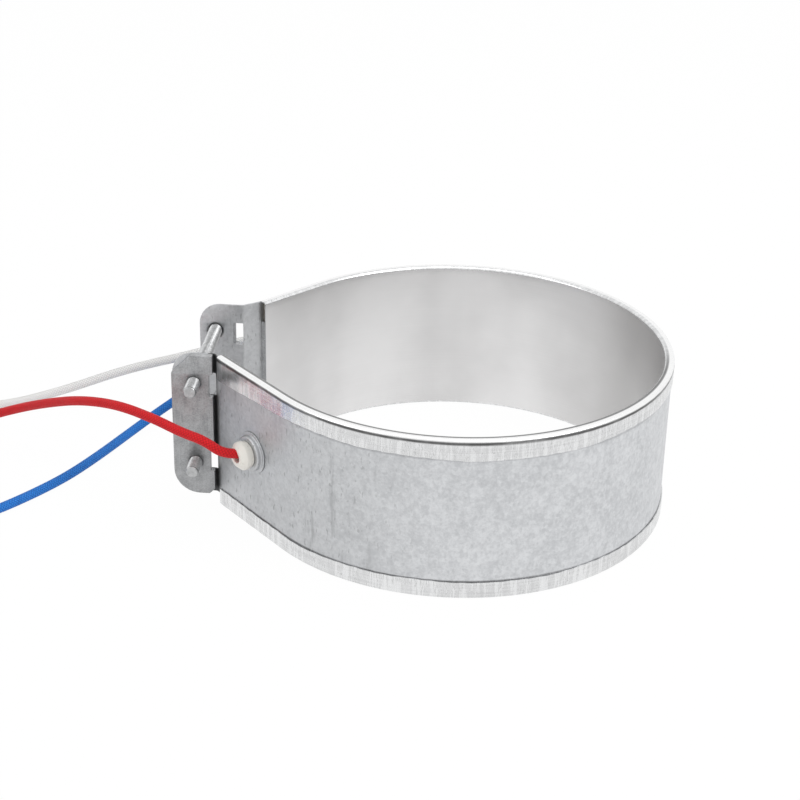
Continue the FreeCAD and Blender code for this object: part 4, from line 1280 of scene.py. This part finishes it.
@dataclass
class Jacket:
    """The galvanised outer sheet, cut flat with its ears, windows and holes and then bent."""

    low: float = 0.75
    high: float = 59.75
    near_wrap: float = 1.1
    bush_hole: float = 5.75

    def blank(self) -> tuple[Blank, list[float], list[float]]:
        """The flat blank in stations along the plan line and heights, and where it is divided."""
        path = PLAN.jacket_line()
        ends = np.cumsum([leg[0] for leg in path.legs])
        total = ends[-1]
        near_corner = ends[0] + 0.5 * path.legs[1][0]
        far_corner = ends[6] + 0.5 * path.legs[7][0]
        near_full = ends[2] - PLAN.near_run - 0.5
        far_full = ends[3] + PLAN.far_run + 0.5
        c = CLAMP
        outline = closed_outline(
            [
                (near_full, c.ear_top, 0),
                (near_full, self.high, 0),
                (far_full, self.high, 0),
                (far_full, c.ear_top, 0),
                (total, c.ear_top, c.ear_top_radius),
                (total, c.ear_bottom, c.ear_bottom_radius),
                (far_full, c.ear_bottom, 0),
                (far_full, self.low, 0),
                (near_full, self.low, 0),
                (near_full, c.ear_bottom, 0),
                (0.0, c.ear_bottom, c.ear_bottom_radius),
                (0.0, c.ear_top, c.ear_top_radius),
            ]
        )
        holes = []
        for low, high in c.windows():
            for a, b in (
                (near_corner - c.window_width, near_corner + self.near_wrap),
                (far_corner, far_corner + c.window_width),
            ):
                start = ((a + b) / 2, low, 0)
                corners = [start, (b, low, 0.4), (b, high, 0.4), (a, high, 0.4), (a, low, 0.4)]
                holes.append(closed_outline(corners, 3))
        for height in c.screw_heights():
            holes.append(circle_loop(PLAN.near_ear_tip - c.screw_setback, height, c.ear_hole))
            holes.append(circle_loop(total - (PLAN.far_ear_tip - c.screw_setback), height, c.ear_hole))
        for end, station in (s.value for s in Station):
            at = ends[2] - station if end < 0 else ends[3] + station
            holes.append(circle_loop(at, BUSH_HEIGHT, self.bush_hole))
        cuts = []
        for number, (length, turn) in enumerate(path.legs):
            start = ends[number] - length
            if number == 3:
                cuts += list(np.arange(start, start + length, 1.5))
            elif turn:
                cuts += list(np.linspace(start, start + length, 2 + int(abs(turn) / 6)))
            elif number in (2, 4):
                cuts += list(np.arange(start, start + length, 4.0))
        rows = list(np.arange(8.0, 58.0, 5.0))
        return Blank(outline, holes, PLAN.jacket_gauge, 0.05), [float(v) for v in cuts], rows

    def bend(self, flat: np.ndarray) -> np.ndarray:
        """Carries flat points (station, height, depth) onto the plan line.

        The place is the plan line's point plus the outward normal times the depth. On the band,
        shallow dents and a slow sag of a few hundredths of a millimetre are taken off the depth.
        """
        path = PLAN.jacket_line()
        s, z = flat[:, 0], flat[:, 1]
        where, normal = path.walk(s)
        body = np.clip((s - 30.0) / 14.0, 0, 1) * np.clip((path.length() - 34.0 - s) / 14.0, 0, 1)
        level = np.clip((z - 8.0) / 10.0, 0, 1) * np.clip((52.0 - z) / 10.0, 0, 1)
        wave = np.sin(s / 13.0 + 0.5) * np.sin(z / 9.0 + 1.0) + 0.7 * np.sin(s / 29.0 + z / 17.0)
        depth = flat[:, 2] - 0.05 * body * level * (1.0 + wave * 0.55)
        out = where + normal * depth[:, None]
        return np.concatenate([out, z[:, None]], 1)

    def build(self) -> bpy.types.Object:
        """Makes the jacket and puts it in the CAD solid's place."""
        blank, cuts_x, cuts_y = self.blank()
        piece = blank.shaped("jacket_sheet", Metal.JACKET.value, self.bend, cuts_x=cuts_x, cuts_y=cuts_y)
        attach(piece, "band")
        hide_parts("outer_jacket")
        return piece


@dataclass
class ClampPlate:
    """One of the two thick plates that spread the screws' pull over the ears."""

    near: bool
    hole: float

    def blank(self) -> Blank:
        """The plate's outline in X and Z, its holes and its gauge."""
        c = CLAMP
        tip = PLAN.near_ear_tip if self.near else PLAN.far_ear_tip
        left, right = -tip, c.plate_width - tip
        top = c.ear_top if self.near else c.ear_top - c.far_plate_drop
        notch = right - c.notch_depth
        corners = [(right - c.plate_toe, c.ear_bottom, 0), (right, c.ear_bottom + c.plate_toe, 0)]
        for low, high in c.windows():
            corners += [(right, low, 0.4), (notch, low, 0.5), (notch, high, 0.5), (right, high, 0.4)]
        corners += [
            (right, top, 0.3),
            (left + c.plate_chamfer, top, 0.6),
            (left, top - c.plate_chamfer, 0.6),
            (left, c.ear_bottom, c.ear_bottom_radius),
        ]
        holes = [circle_loop(-c.screw_setback, h, self.hole) for h in c.screw_heights()]
        return Blank(closed_outline(corners), holes, c.plate_gauge, 0.22)

    def build(self) -> bpy.types.Object:
        """Makes the plate in its place behind its ear."""
        side = -1.0 if self.near else 1.0
        offset = PLAN.near_ear_offset if self.near else PLAN.far_ear_offset
        face = side * (offset + PLAN.jacket_gauge + CLAMP.plate_gap)

        def form(flat: np.ndarray) -> np.ndarray:
            """X stays, Y becomes Z and the depth runs away from the ear."""
            return np.stack([flat[:, 0], face + side * flat[:, 2], flat[:, 1]], -1)

        name = "near" if self.near else "far"
        piece = self.blank().shaped(f"{name}_plate_dressed", Metal.PLATE.value, form)
        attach(piece, "band")
        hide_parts(f"{name}_clamp_plate")
        return piece


# --------------------------------------------------------------------- screws and washers


def on_screw_axis(points: np.ndarray, seat_y: float, height: float) -> np.ndarray:
    """Turned points laid along a screw's axis, their origin at a place along Y."""
    return posed(points, Vector((-CLAMP.screw_setback, seat_y, height)), Vector((0, 1, 0)), Vector((0, 0, 1)))


@dataclass
class ClampScrew:
    """A socket cap screw along Y with a real thread, a knurled head and a hexagon socket."""

    place: str
    height: float
    seat_y: float = 29.44
    radius: float = 2.5
    pitch: float = 0.8
    length: float = 60.0
    thread_depth: float = 0.44
    head_radius: float = 4.25
    head_height: float = 5.0
    socket_flats: float = 4.0
    socket_depth: float = 2.5

    def shank(self) -> tuple[np.ndarray, list]:
        """The threaded shank, head side up.

        At angle a and height z the thread's phase is z / pitch - a / 2 pi. The radius is the
        outer radius less the thread depth times a rounded V of the phase, which fades out at the
        tip's chamfer and under the head.
        """
        rows, segments = int(self.length / 0.1), 40
        z = np.linspace(-self.length, 0.0, rows)
        z = np.concatenate([[-self.length, -self.length], z, [0.5, 0.5]])
        outer = np.full(len(z), self.radius)
        outer[0], outer[-1] = 0.0, 0.0
        profile = np.stack([outer, z], -1)

        def thread(radius: np.ndarray, height: np.ndarray, angle: np.ndarray) -> np.ndarray:
            """Cuts the thread and the tip's chamfer into the radii."""
            phase = (height / self.pitch - angle / (2 * np.pi)) % 1.0
            vee = np.clip(np.abs(phase - 0.5) * 2.0, 0, 1)
            vee = np.clip((vee - 0.08) / 0.78, 0, 1)
            rise = np.clip((height + self.length) / 0.5, 0, 1)
            ends = np.clip(-height / 1.2, 0, 1)
            cut = radius - self.thread_depth * vee * np.where(ends > 0, ends, 0)
            return np.minimum(cut, self.radius - 0.55 + 0.55 * rise)

        return turned(profile, segments, thread)

    def head(self) -> tuple[np.ndarray, list]:
        """The knurled head with its hexagon socket, as one turned shell.

        The outside's radius dips by a rectified wave of 36 knurls. Inside the socket the radius is
        the hexagon's: half the flats over cos of the angle from the nearest flat.
        """
        bevel, recess = 0.4, self.head_height - self.socket_depth
        outside = [
            (0.0, 0.0),
            (2.6, 0.0),
            (self.head_radius - 0.15, 0.0),
            (self.head_radius, 0.15),
            (self.head_radius, 0.6),
            (self.head_radius, self.head_height - bevel - 0.3),
            (self.head_radius, self.head_height - bevel),
            (self.head_radius - bevel * 0.6, self.head_height - 0.08),
            (self.head_radius - bevel, self.head_height),
            (self.socket_flats / 2 + 0.55, self.head_height),
            (self.socket_flats / 2 + 0.35, self.head_height - 0.12),
            (self.socket_flats / 2, self.head_height - 0.4),
            (self.socket_flats / 2, recess),
            (self.socket_flats / 2 - 0.3, recess - 0.08),
            (0.0, recess - 0.5),
        ]

        def swell(radius: np.ndarray, height: np.ndarray, angle: np.ndarray) -> np.ndarray:
            """Knurls the outside and squares the socket to its hexagon."""
            outer = radius > self.head_radius - 0.01
            body = outer & (height > 0.3) & (height < self.head_height - bevel - 0.05)
            knurl = 0.16 * (1 - np.abs(np.sin(angle * 18.0)))
            radius = radius - np.where(body, knurl, 0)
            flat = (angle + np.pi / 6) % (np.pi / 3) - np.pi / 6
            hexagon = radius / np.cos(flat)
            inside = radius < self.socket_flats / 2 + 0.01
            socket = inside & (height > recess - 0.01) & (height < self.head_height - 0.3)
            return np.where(socket, hexagon, radius)

        return turned(np.array(outside), 144, swell)

    def build(self) -> bpy.types.Object:
        """Makes the screw in its place; it turns and travels with its own body."""
        points, faces = join_shells([self.shank(), self.head()])
        placed = on_screw_axis(points, self.seat_y, self.height)
        piece = mesh_object(f"screw_{self.place}_threaded", placed, faces, Metal.SCREW.value, None, 34.0)
        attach(piece, f"screw_{self.place}")
        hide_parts(f"clamp_screw_{self.place}")
        return piece


@dataclass
class Washer:
    """A plain stamped washer, one edge rolled and the other burred."""

    place: str
    height: float
    seat_y: float = 28.42
    hole: float = 2.75
    rim: float = 5.0
    gauge: float = 1.0

    def build(self) -> bpy.types.Object:
        """Makes the washer under its screw's head."""
        profile = rounded_profile(
            [
                (self.hole, self.gauge / 2, 0),
                (self.hole, 0.0, 0.12),
                (self.rim, 0.0, 0.30),
                (self.rim, self.gauge, 0.10),
                (self.hole, self.gauge, 0.15),
                (self.hole, self.gauge / 2 + 0.01, 0),
            ],
            4,
        )
        points, faces = turned(profile, 56)
        placed = on_screw_axis(points, self.seat_y, self.height)
        piece = mesh_object(f"washer_{self.place}_stamped", placed, faces, Metal.SCREW.value)
        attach(piece, f"washer_{self.place}")
        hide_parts(f"clamp_washer_{self.place}")
        return piece


# ------------------------------------------------------------------------ bushes and leads


class Station(Enum):
    """Which run each bush stands on (-1 near, +1 far) and how far along it, in millimetres."""

    RED = (-1, 18.5)
    WHITE = (1, 4.0)
    BLUE = (1, 20.5)


@dataclass
class Bush:
    """A nosed ceramic bush with the pressed steel collar that holds its foot."""

    colour: str
    end: int
    station: float
    height: float = BUSH_HEIGHT
    bore: float = 2.0
    segments: int = 72

    def seat(self) -> tuple[Vector, Vector]:
        """The point on the jacket's face under the bush, and the outward normal there."""
        outward, along = PLAN.run_frame(self.end)
        spot = outward * PLAN.jacket_out + along * self.station
        spot.z = self.height
        return spot, outward

    def ceramic(self) -> bpy.types.Object:
        """The bush, turned from its profile, with a mould's unevenness of a few hundredths."""
        profile = rounded_profile(
            [
                (self.bore, 3.0, 0),
                (self.bore, 0.42, 0.15),
                (5.5, 0.42, 0.2),
                (5.5, 1.62, 0.25),
                (4.2, 1.62, 0.25),
                (4.2, 2.28, 0.15),
                (4.8, 2.28, 0.25),
                (4.8, 3.68, 0.20),
                (5.3, 3.68, 0.30),
                (5.3, 5.18, 0.55),
                (3.4, 7.08, 0.55),
                (self.bore + 0.12, 7.08, 0.20),
                (self.bore, 6.6, 0.25),
                (self.bore, 3.1, 0),
            ],
            5,
        )

        def uneven(radius: np.ndarray, height: np.ndarray, angle: np.ndarray) -> np.ndarray:
            """Adds slow lobes round the outside and a chipped spot on the nose."""
            lobes = 0.035 * np.sin(3 * angle + height) + 0.02 * np.sin(7 * angle + 1.3)
            chip = 0.22 * np.exp(-(((angle - 2.2) / 0.22) ** 2) - ((height - 6.4) / 0.5) ** 2)
            return radius + np.where(radius > self.bore + 0.6, lobes - 0.05 - chip, 0)

        points, faces = turned(profile, self.segments, uneven)
        placed = posed(points, *self.seat(), Vector((0, 0, 1)))
        finish = FiredCeramic()
        piece = mesh_object(f"bush_{self.colour}_fired", placed, faces, finish, None, 45.0)
        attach(piece, "band")
        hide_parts(f"ceramic_bush_{self.colour}")
        return piece

    def collar(self) -> bpy.types.Object:
        """The pressed collar: flange on the jacket, drawn wall and rolled-in mouth."""
        profile = rounded_profile(
            [
                (6.1, 0.9, 0),
                (6.1, 0.02, 0.1),
                (7.9, 0.02, 0.12),
                (7.9, 0.52, 0.18),
                (6.6, 0.52, 0.40),
                (6.6, 2.2, 0.62),
                (4.4, 2.2, 0.18),
                (4.4, 1.7, 0.18),
                (6.1, 1.7, 0.2),
                (6.1, 0.95, 0),
            ],
            5,
        )

        def pressed(radius: np.ndarray, height: np.ndarray, angle: np.ndarray) -> np.ndarray:
            """Gives the flange's edge a slightly wavy trim and the wall soft flats."""
            trim = np.where(radius > 7.3, 0.10 * np.sin(5 * angle + 0.7) * np.sin(2 * angle) - 0.10, 0)
            flats = np.where((radius > 6.3) & (radius < 7.0), 0.03 * np.sin(8 * angle) - 0.03, 0)
            return radius + trim + flats

        points, faces = turned(profile, self.segments, pressed)
        placed = posed(points, *self.seat(), Vector((0, 0, 1)))
        piece = mesh_object(f"collar_{self.colour}_pressed", placed, faces, Metal.JACKET.value, None, 45.0)
        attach(piece, "band")
        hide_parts(f"bush_collar_{self.colour}")
        return piece


@dataclass
class Lead:
    """A braided lead: straight out of its bush, down to the floor and into a small coil."""

    colour: str
    braid: Finish
    end: int
    station: float
    exit_run: float
    side: int
    points: list[tuple[float, float, float]]
    radius: float = 1.8
    start_rise: float = -0.68
    lift: float = 0.0
    bush_height: float = BUSH_HEIGHT
    length: float = 300.0
    coil_radius: float = 18.2
    coil_tail: float = 12.0
    strand_length: float = 8.0
    carriers: int = 16
    pitch: float = 9.0
    relief: float = 0.07
    route: list[Vector] = field(default_factory=list)

    def free_route(self) -> list[Vector]:
        """The points that the free stretch bends past, from the terminal to the coil's start."""
        outward, along = PLAN.run_frame(self.end)
        start = outward * (PLAN.jacket_out + self.start_rise) + along * self.station
        start.z = self.bush_height
        leave = start + outward * self.exit_run + Vector((0.0, 0.0, self.lift))
        return [start, leave] + [Vector(p) for p in self.points]

    def full_route(self) -> list[Vector]:
        """The whole lead: the free stretch, the turn of the coil, which climbs a layer, and the tail."""
        route = self.free_route()
        heading = (route[-1] - route[-2]).normalized()
        reach, radius = self.coil_radius, self.radius
        stub = math.sqrt((reach + 2 * radius) ** 2 - reach**2) + radius / 4
        entry = route[-1] + heading * stub
        left = Vector((0, 0, 1)).cross(heading)
        middle = entry + left * (self.side * reach)
        spare = self.length - self.tube_length(route)
        turn = self.side * (spare - stub - self.coil_tail) / reach
        count = 14
        for k in range(1, count):
            share = k / count
            swing = Matrix.Rotation(turn * share, 3, "Z")
            spot = middle + swing @ (entry - middle) * 1.012
            spot.z = radius + 2 * radius * max(0.0, min(1.0, (share - 0.45) / 0.45))
            route.append(spot)
        swing = Matrix.Rotation(turn, 3, "Z")
        leave = middle + swing @ (entry - middle)
        leave.z = 3 * radius
        way = swing @ heading
        route.append(leave + way * 1.5)
        route.append(leave + way * self.coil_tail)
        return route

    @staticmethod
    def tube_length(route: list[Vector]) -> float:
        """The length of the runs with each corner rounded by an arc over 45 % of its shorter run."""
        total = sum((b - a).length for a, b in zip(route, route[1:]))
        for a, b, c in zip(route, route[1:], route[2:]):
            reach = 0.45 * min((b - a).length, (c - b).length)
            half = (b - a).angle(c - b) / 2
            bend = reach / math.tan(half)
            total += 2 * half * bend - 2 * reach
        return total

    def line(self) -> np.ndarray:
        """The lead's smooth centre line, sampled from a NURBS curve through its route."""
        curve = bpy.data.curves.new("lead_line", "CURVE")
        curve.dimensions = "3D"
        curve.resolution_u = 14
        spline = curve.splines.new("NURBS")
        spline.points.add(len(self.route) - 1)
        flat = np.array([(*(p * MM), 1.0) for p in self.route], np.float32)
        spline.points.foreach_set("co", flat.ravel())
        spline.order_u = 3
        spline.use_endpoint_u = True
        thing = bpy.data.objects.new("lead_line", curve)
        bpy.context.scene.collection.objects.link(thing)
        bpy.context.view_layer.update()
        mesh = bpy.data.meshes.new_from_object(thing.evaluated_get(bpy.context.evaluated_depsgraph_get()))
        line = np.empty(len(mesh.vertices) * 3)
        mesh.vertices.foreach_get("co", line)
        bpy.data.objects.remove(thing)
        bpy.data.meshes.remove(mesh)
        return line.reshape(-1, 3) / MM

    @staticmethod
    def even(line: np.ndarray, step: float) -> tuple[np.ndarray, np.ndarray]:
        """The line resampled at even steps, with its distances."""
        gone = np.concatenate([[0], np.cumsum(np.linalg.norm(np.diff(line, axis=0), axis=1))])
        count = max(8, int(round(gone[-1] / step)))
        s = np.linspace(0, gone[-1], count + 1)
        return np.stack([np.interp(s, gone, line[:, k]) for k in range(3)], -1), s

    @staticmethod
    def frames(line: np.ndarray) -> tuple[np.ndarray, np.ndarray]:
        """Two directions across the line at every point, square to it and to each other.

        The first is the upright direction less its part along the line, so the sleeve doesn't
        twist; the line is never upright.
        """
        tangent = np.gradient(line, axis=0)
        tangent /= np.linalg.norm(tangent, axis=1)[:, None]
        up = np.array([0.0, 0.0, 1.0]) - tangent * tangent[:, 2:3]
        up /= np.linalg.norm(up, axis=1)[:, None]
        return up, np.cross(tangent, up)

    def sleeve(self, line: np.ndarray) -> tuple[np.ndarray, list, np.ndarray]:
        """The braided sleeve as a grid: distance along by angle round.

        With the two diagonals p = half the carriers times (s / pitch + a / 2 pi) and
        q = half the carriers times (s / pitch - a / 2 pi), each yarn's crown is the cosine of its
        place across, and the yarn on top swaps in a checker of p and q. The radius is the lead's
        less the relief where the yarns dip.
        """
        spots, s = self.even(line, 0.26)
        up, side = self.frames(spots)
        around = 48
        angle = np.linspace(0, 2 * np.pi, around, endpoint=False)[None, :]
        half = self.carriers / 2
        p = half * (s[:, None] / self.pitch + angle / (2 * np.pi))
        q = half * (s[:, None] / self.pitch - angle / (2 * np.pi))
        crown_p, crown_q = np.abs(np.cos(np.pi * (p - 0.5))), np.abs(np.cos(np.pi * (q - 0.5)))
        over = np.sin(np.pi * p) * np.sin(np.pi * q)
        rise = 0.55 * crown_p * crown_q + 0.45 * (0.5 + 0.5 * over)
        radius = self.radius - self.relief * (1 - rise)
        ends = np.clip(np.minimum(s, s[-1] - s)[:, None] / 0.5, 0, 1)
        radius = radius * (0.86 + 0.14 * ends)
        cos, sin = np.cos(angle), np.sin(angle)
        ring = up[:, None, :] * cos[..., None] + side[:, None, :] * sin[..., None]
        points = (spots[:, None, :] + ring * radius[..., None]).reshape(-1, 3)
        faces = grid_faces(len(s), around, False, True).tolist()
        faces.append(list(range(around))[::-1])
        faces.append([len(points) - around + k for k in range(around)])
        uv = np.stack(np.broadcast_arrays(s[:, None], angle / (2 * np.pi)), -1).reshape(-1, 2)
        return points, faces, uv

    def strands(self, tip: Vector, way: Vector) -> tuple[np.ndarray, list]:
        """The stripped conductor: seven strands, six of them twisted round the middle one.

        A strand's centre at distance d is tip + d * way + its lay radius turned by d / 9 turns.
        """
        thick, lay = 0.36, 0.72
        shells = []
        d = np.linspace(-1.0, self.strand_length, 40)
        way = way.normalized()
        up = Vector((0, 0, 1))
        side = np.array(way.cross(up).normalized())
        over = np.array(up)
        for k in range(7):
            turn = 2 * np.pi * (k / 6 + d / 9.0)
            reach = 0.0 if k == 6 else lay
            centre = np.array(tip) + np.array(way) * d[:, None]
            centre = centre + reach * (np.cos(turn)[:, None] * side + np.sin(turn)[:, None] * over)
            angle = np.linspace(0, 2 * np.pi, 12, endpoint=False)[None, :, None]
            ring = centre[:, None, :] + thick * (np.cos(angle) * side + np.sin(angle) * over)
            faces = grid_faces(len(d), 12, False, True).tolist()
            faces.append(list(range(12))[::-1])
            faces.append([len(d) * 12 - 12 + j for j in range(12)])
            shells.append((ring.reshape(-1, 3), faces))
        return join_shells(shells)

    def build(self) -> bpy.types.Object:
        self.route = self.full_route()
        line = self.line()
        points, faces, uv = self.sleeve(line)
        piece = mesh_object(f"lead_{self.colour}_sleeve", points, faces, self.braid, uv, 60.0)
        face_outwards(piece.data)
        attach(piece, "band")
        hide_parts(f"lead_{self.colour}", f"lead_coil_{self.colour}")
        tip, way = Vector(line[-1]), Vector(line[-1] - line[-4])
        strand_points, strand_faces = self.strands(tip, way)
        name = f"lead_{self.colour}_strands"
        core = mesh_object(name, strand_points, strand_faces, Metal.SCREW.value, None, 60.0)
        face_outwards(core.data)
        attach(core, "band")
        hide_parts(f"lead_end_{self.colour}")
        return piece


RED_POINTS = [
    (-87.0, -43.5, 37.5),
    (-95.5, -39.5, 38.0),
    (-107.0, -32.5, 39.5),
    (-122.0, -23.0, 39.5),
    (-138.5, -10.5, 34.5),
    (-155.0, 4.0, 25.5),
    (-171.5, 16.5, 16.0),
    (-193.0, 24.0, 5.5),
    (-208.0, 26.0, 1.8),
    (-218.0, 26.5, 1.8),
]
WHITE_POINTS = [
    (-86.5, 65.0, 29.5),
    (-108.5, 54.5, 25.5),
    (-135.5, 52.5, 18.5),
    (-163.0, 47.0, 9.0),
    (-187.5, 44.5, 2.2),
    (-205.0, 47.0, 1.8),
    (-216.0, 47.0, 1.8),
]
BLUE_POINTS = [
    (-93.5, 51.0, 27.0),
    (-103.0, 49.0, 16.5),
    (-118.5, 42.5, 7.0),
    (-129.0, 31.0, 1.9),
    (-139.0, 5.0, 1.8),
    (-148.0, -14.5, 1.8),
    (-162.5, -35.5, 1.8),
    (-171.0, -44.0, 1.8),
]


# ------------------------------------------------------------------------------ the studio


@dataclass(frozen=True)
class SoftBox:
    """A rectangular lamp that points at the object."""

    name: str
    at: tuple[float, float, float]
    aim: tuple[float, float, float]
    width: float
    height: float
    watts: float

    def build(self) -> None:
        """Makes the lamp."""
        lamp = bpy.data.lights.new(self.name, "AREA")
        lamp.shape = "RECTANGLE"
        lamp.size, lamp.size_y = self.width, self.height
        lamp.energy = self.watts
        thing = bpy.data.objects.new(self.name, lamp)
        bpy.context.scene.collection.objects.link(thing)
        thing.location = self.at
        thing.rotation_euler = (Vector(self.aim) - Vector(self.at)).to_track_quat("-Z", "Y").to_euler()


@dataclass
class Studio:
    """Camera, floor, world and lamps."""

    camera_at: tuple[float, float, float] = (0.0186, -0.6088, 0.3311)
    yaw_degrees: float = 3.71
    pitch_degrees: float = 25.80
    roll_degrees: float = 1.35
    focal: float = 81.95
    world_grey: float = 0.62
    floor_reach: float = 6.0
    floor_gap: float = 0.0002

    def camera(self) -> None:
        """Puts the camera at its place: yaw to the left of +Y, pitch down and a small roll."""
        lens = bpy.data.cameras.new("camera")
        lens.lens = self.focal
        lens.sensor_width = 36.0
        lens.clip_start = 0.01
        thing = bpy.data.objects.new("camera", lens)
        bpy.context.scene.collection.objects.link(thing)
        yaw, pitch = math.radians(self.yaw_degrees), math.radians(self.pitch_degrees)
        level = math.cos(pitch)
        forward = Vector((-math.sin(yaw) * level, math.cos(yaw) * level, -math.sin(pitch)))
        right = forward.cross(Vector((0, 0, 1))).normalized()
        up = right.cross(forward)
        roll = math.radians(self.roll_degrees)
        right, up = right * math.cos(roll) + up * math.sin(roll), up * math.cos(roll) - right * math.sin(roll)
        turn = Matrix((right, up, -forward)).transposed().to_4x4()
        thing.matrix_world = Matrix.Translation(Vector(self.camera_at)) @ turn
        bpy.context.scene.camera = thing

    def floor(self) -> None:
        """A wide plain floor just under the object."""
        reach, drop = self.floor_reach, -self.floor_gap
        mesh = bpy.data.meshes.new("studio_floor")
        corners = [(-reach, -reach, drop), (reach, -reach, drop), (reach, reach, drop), (-reach, reach, drop)]
        mesh.from_pydata(corners, [], [(0, 1, 2, 3)])
        mesh.materials.append(StudioFloor().material())
        thing = bpy.data.objects.new("studio_floor", mesh)
        bpy.context.scene.collection.objects.link(thing)

    def world(self) -> None:
        """A plain sky: white where the camera and the metal see it, dimmer as a light."""
        world = bpy.data.worlds.new("studio")
        bpy.context.scene.world = world
        world.use_nodes = True
        nodes = Nodes(world.node_tree)
        path = nodes.node("LightPath").outputs
        seen = Value(nodes, path["Is Camera Ray"]).most(Value(nodes, path["Is Glossy Ray"]))
        seen = seen.most(Value(nodes, path["Is Transmission Ray"]))
        light, white = (
            nodes.node("Background", {}, {"Color": (1.0, 1.0, 1.0), "Strength": strength}).outputs[0]
            for strength in (self.world_grey, 1.0)
        )
        mix = nodes.node("MixShader", {}, {0: seen, 1: light, 2: white})
        nodes.node("OutputWorld", {}, {"Surface": mix.outputs[0]})

    def lamps(self) -> None:
        """Two soft boxes and an overhead one."""
        for box in (
            SoftBox("key", (0.85, -0.50, 0.90), (0.0, 0.0, 0.03), 0.7, 0.7, 7.0),
            SoftBox("fill", (-0.95, -0.55, 0.60), (0.0, 0.0, 0.03), 0.6, 0.8, 2.0),
            SoftBox("top", (0.05, 0.15, 1.25), (0.0, 0.0, 0.0), 0.9, 0.9, 4.5),
        ):
            box.build()

    def build(self) -> None:
        """Sets up the whole studio."""
        bpy.context.scene.view_settings.view_transform = "Standard"
        self.camera()
        self.floor()
        self.world()
        self.lamps()


# ------------------------------------------------------------------------------- assembly


def dress_inner_parts() -> None:
    """Gives the CAD nodes that stay as they are their finishes."""
    finishes = {
        "inner_mica": MicaBoard(),
        "winding_core": MicaBoard(),
        "outer_mica": MicaBoard(),
        "heating_ribbon": Metal.RIBBON.value,
        "terminal_red": Metal.SCREW.value,
        "terminal_white": Metal.SCREW.value,
        "terminal_blue": Metal.SCREW.value,
    }
    for node, finish in finishes.items():
        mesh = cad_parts[node].data
        mesh.materials.clear()
        mesh.materials.append(finish.material())
        LOG.info("dressed %s", node)


def main() -> None:
    """Builds the studio and every piece in order."""
    logging.basicConfig(level=logging.INFO, format="%(message)s")
    Studio().build()
    for lead in (
        Lead("red", Braid.RED.value, *Station.RED.value, 11.4, 1, RED_POINTS, lift=1.5),
        Lead("white", Braid.WHITE.value, *Station.WHITE.value, 13.5, -1, WHITE_POINTS),
        Lead("blue", Braid.BLUE.value, *Station.BLUE.value, 13.5, -1, BLUE_POINTS),
    ):
        lead.build()
    pieces = [Sheath().build(), Jacket().build()]
    pieces += [ClampPlate(True, 2.56).build(), ClampPlate(False, 2.75).build()]
    for place, height in zip(("lower", "upper"), CLAMP.screw_heights()):
        pieces += [ClampScrew(place, height).build(), Washer(place, height).build()]
    for station in Station:
        bush = Bush(station.name.lower(), *station.value)
        pieces += [bush.ceramic(), bush.collar()]
    for piece in pieces:
        LOG.info("%s: %d faces", piece.name, len(piece.data.polygons))
    dress_inner_parts()
    bpy.context.view_layer.update()


if __name__ == "__main__":
    main()
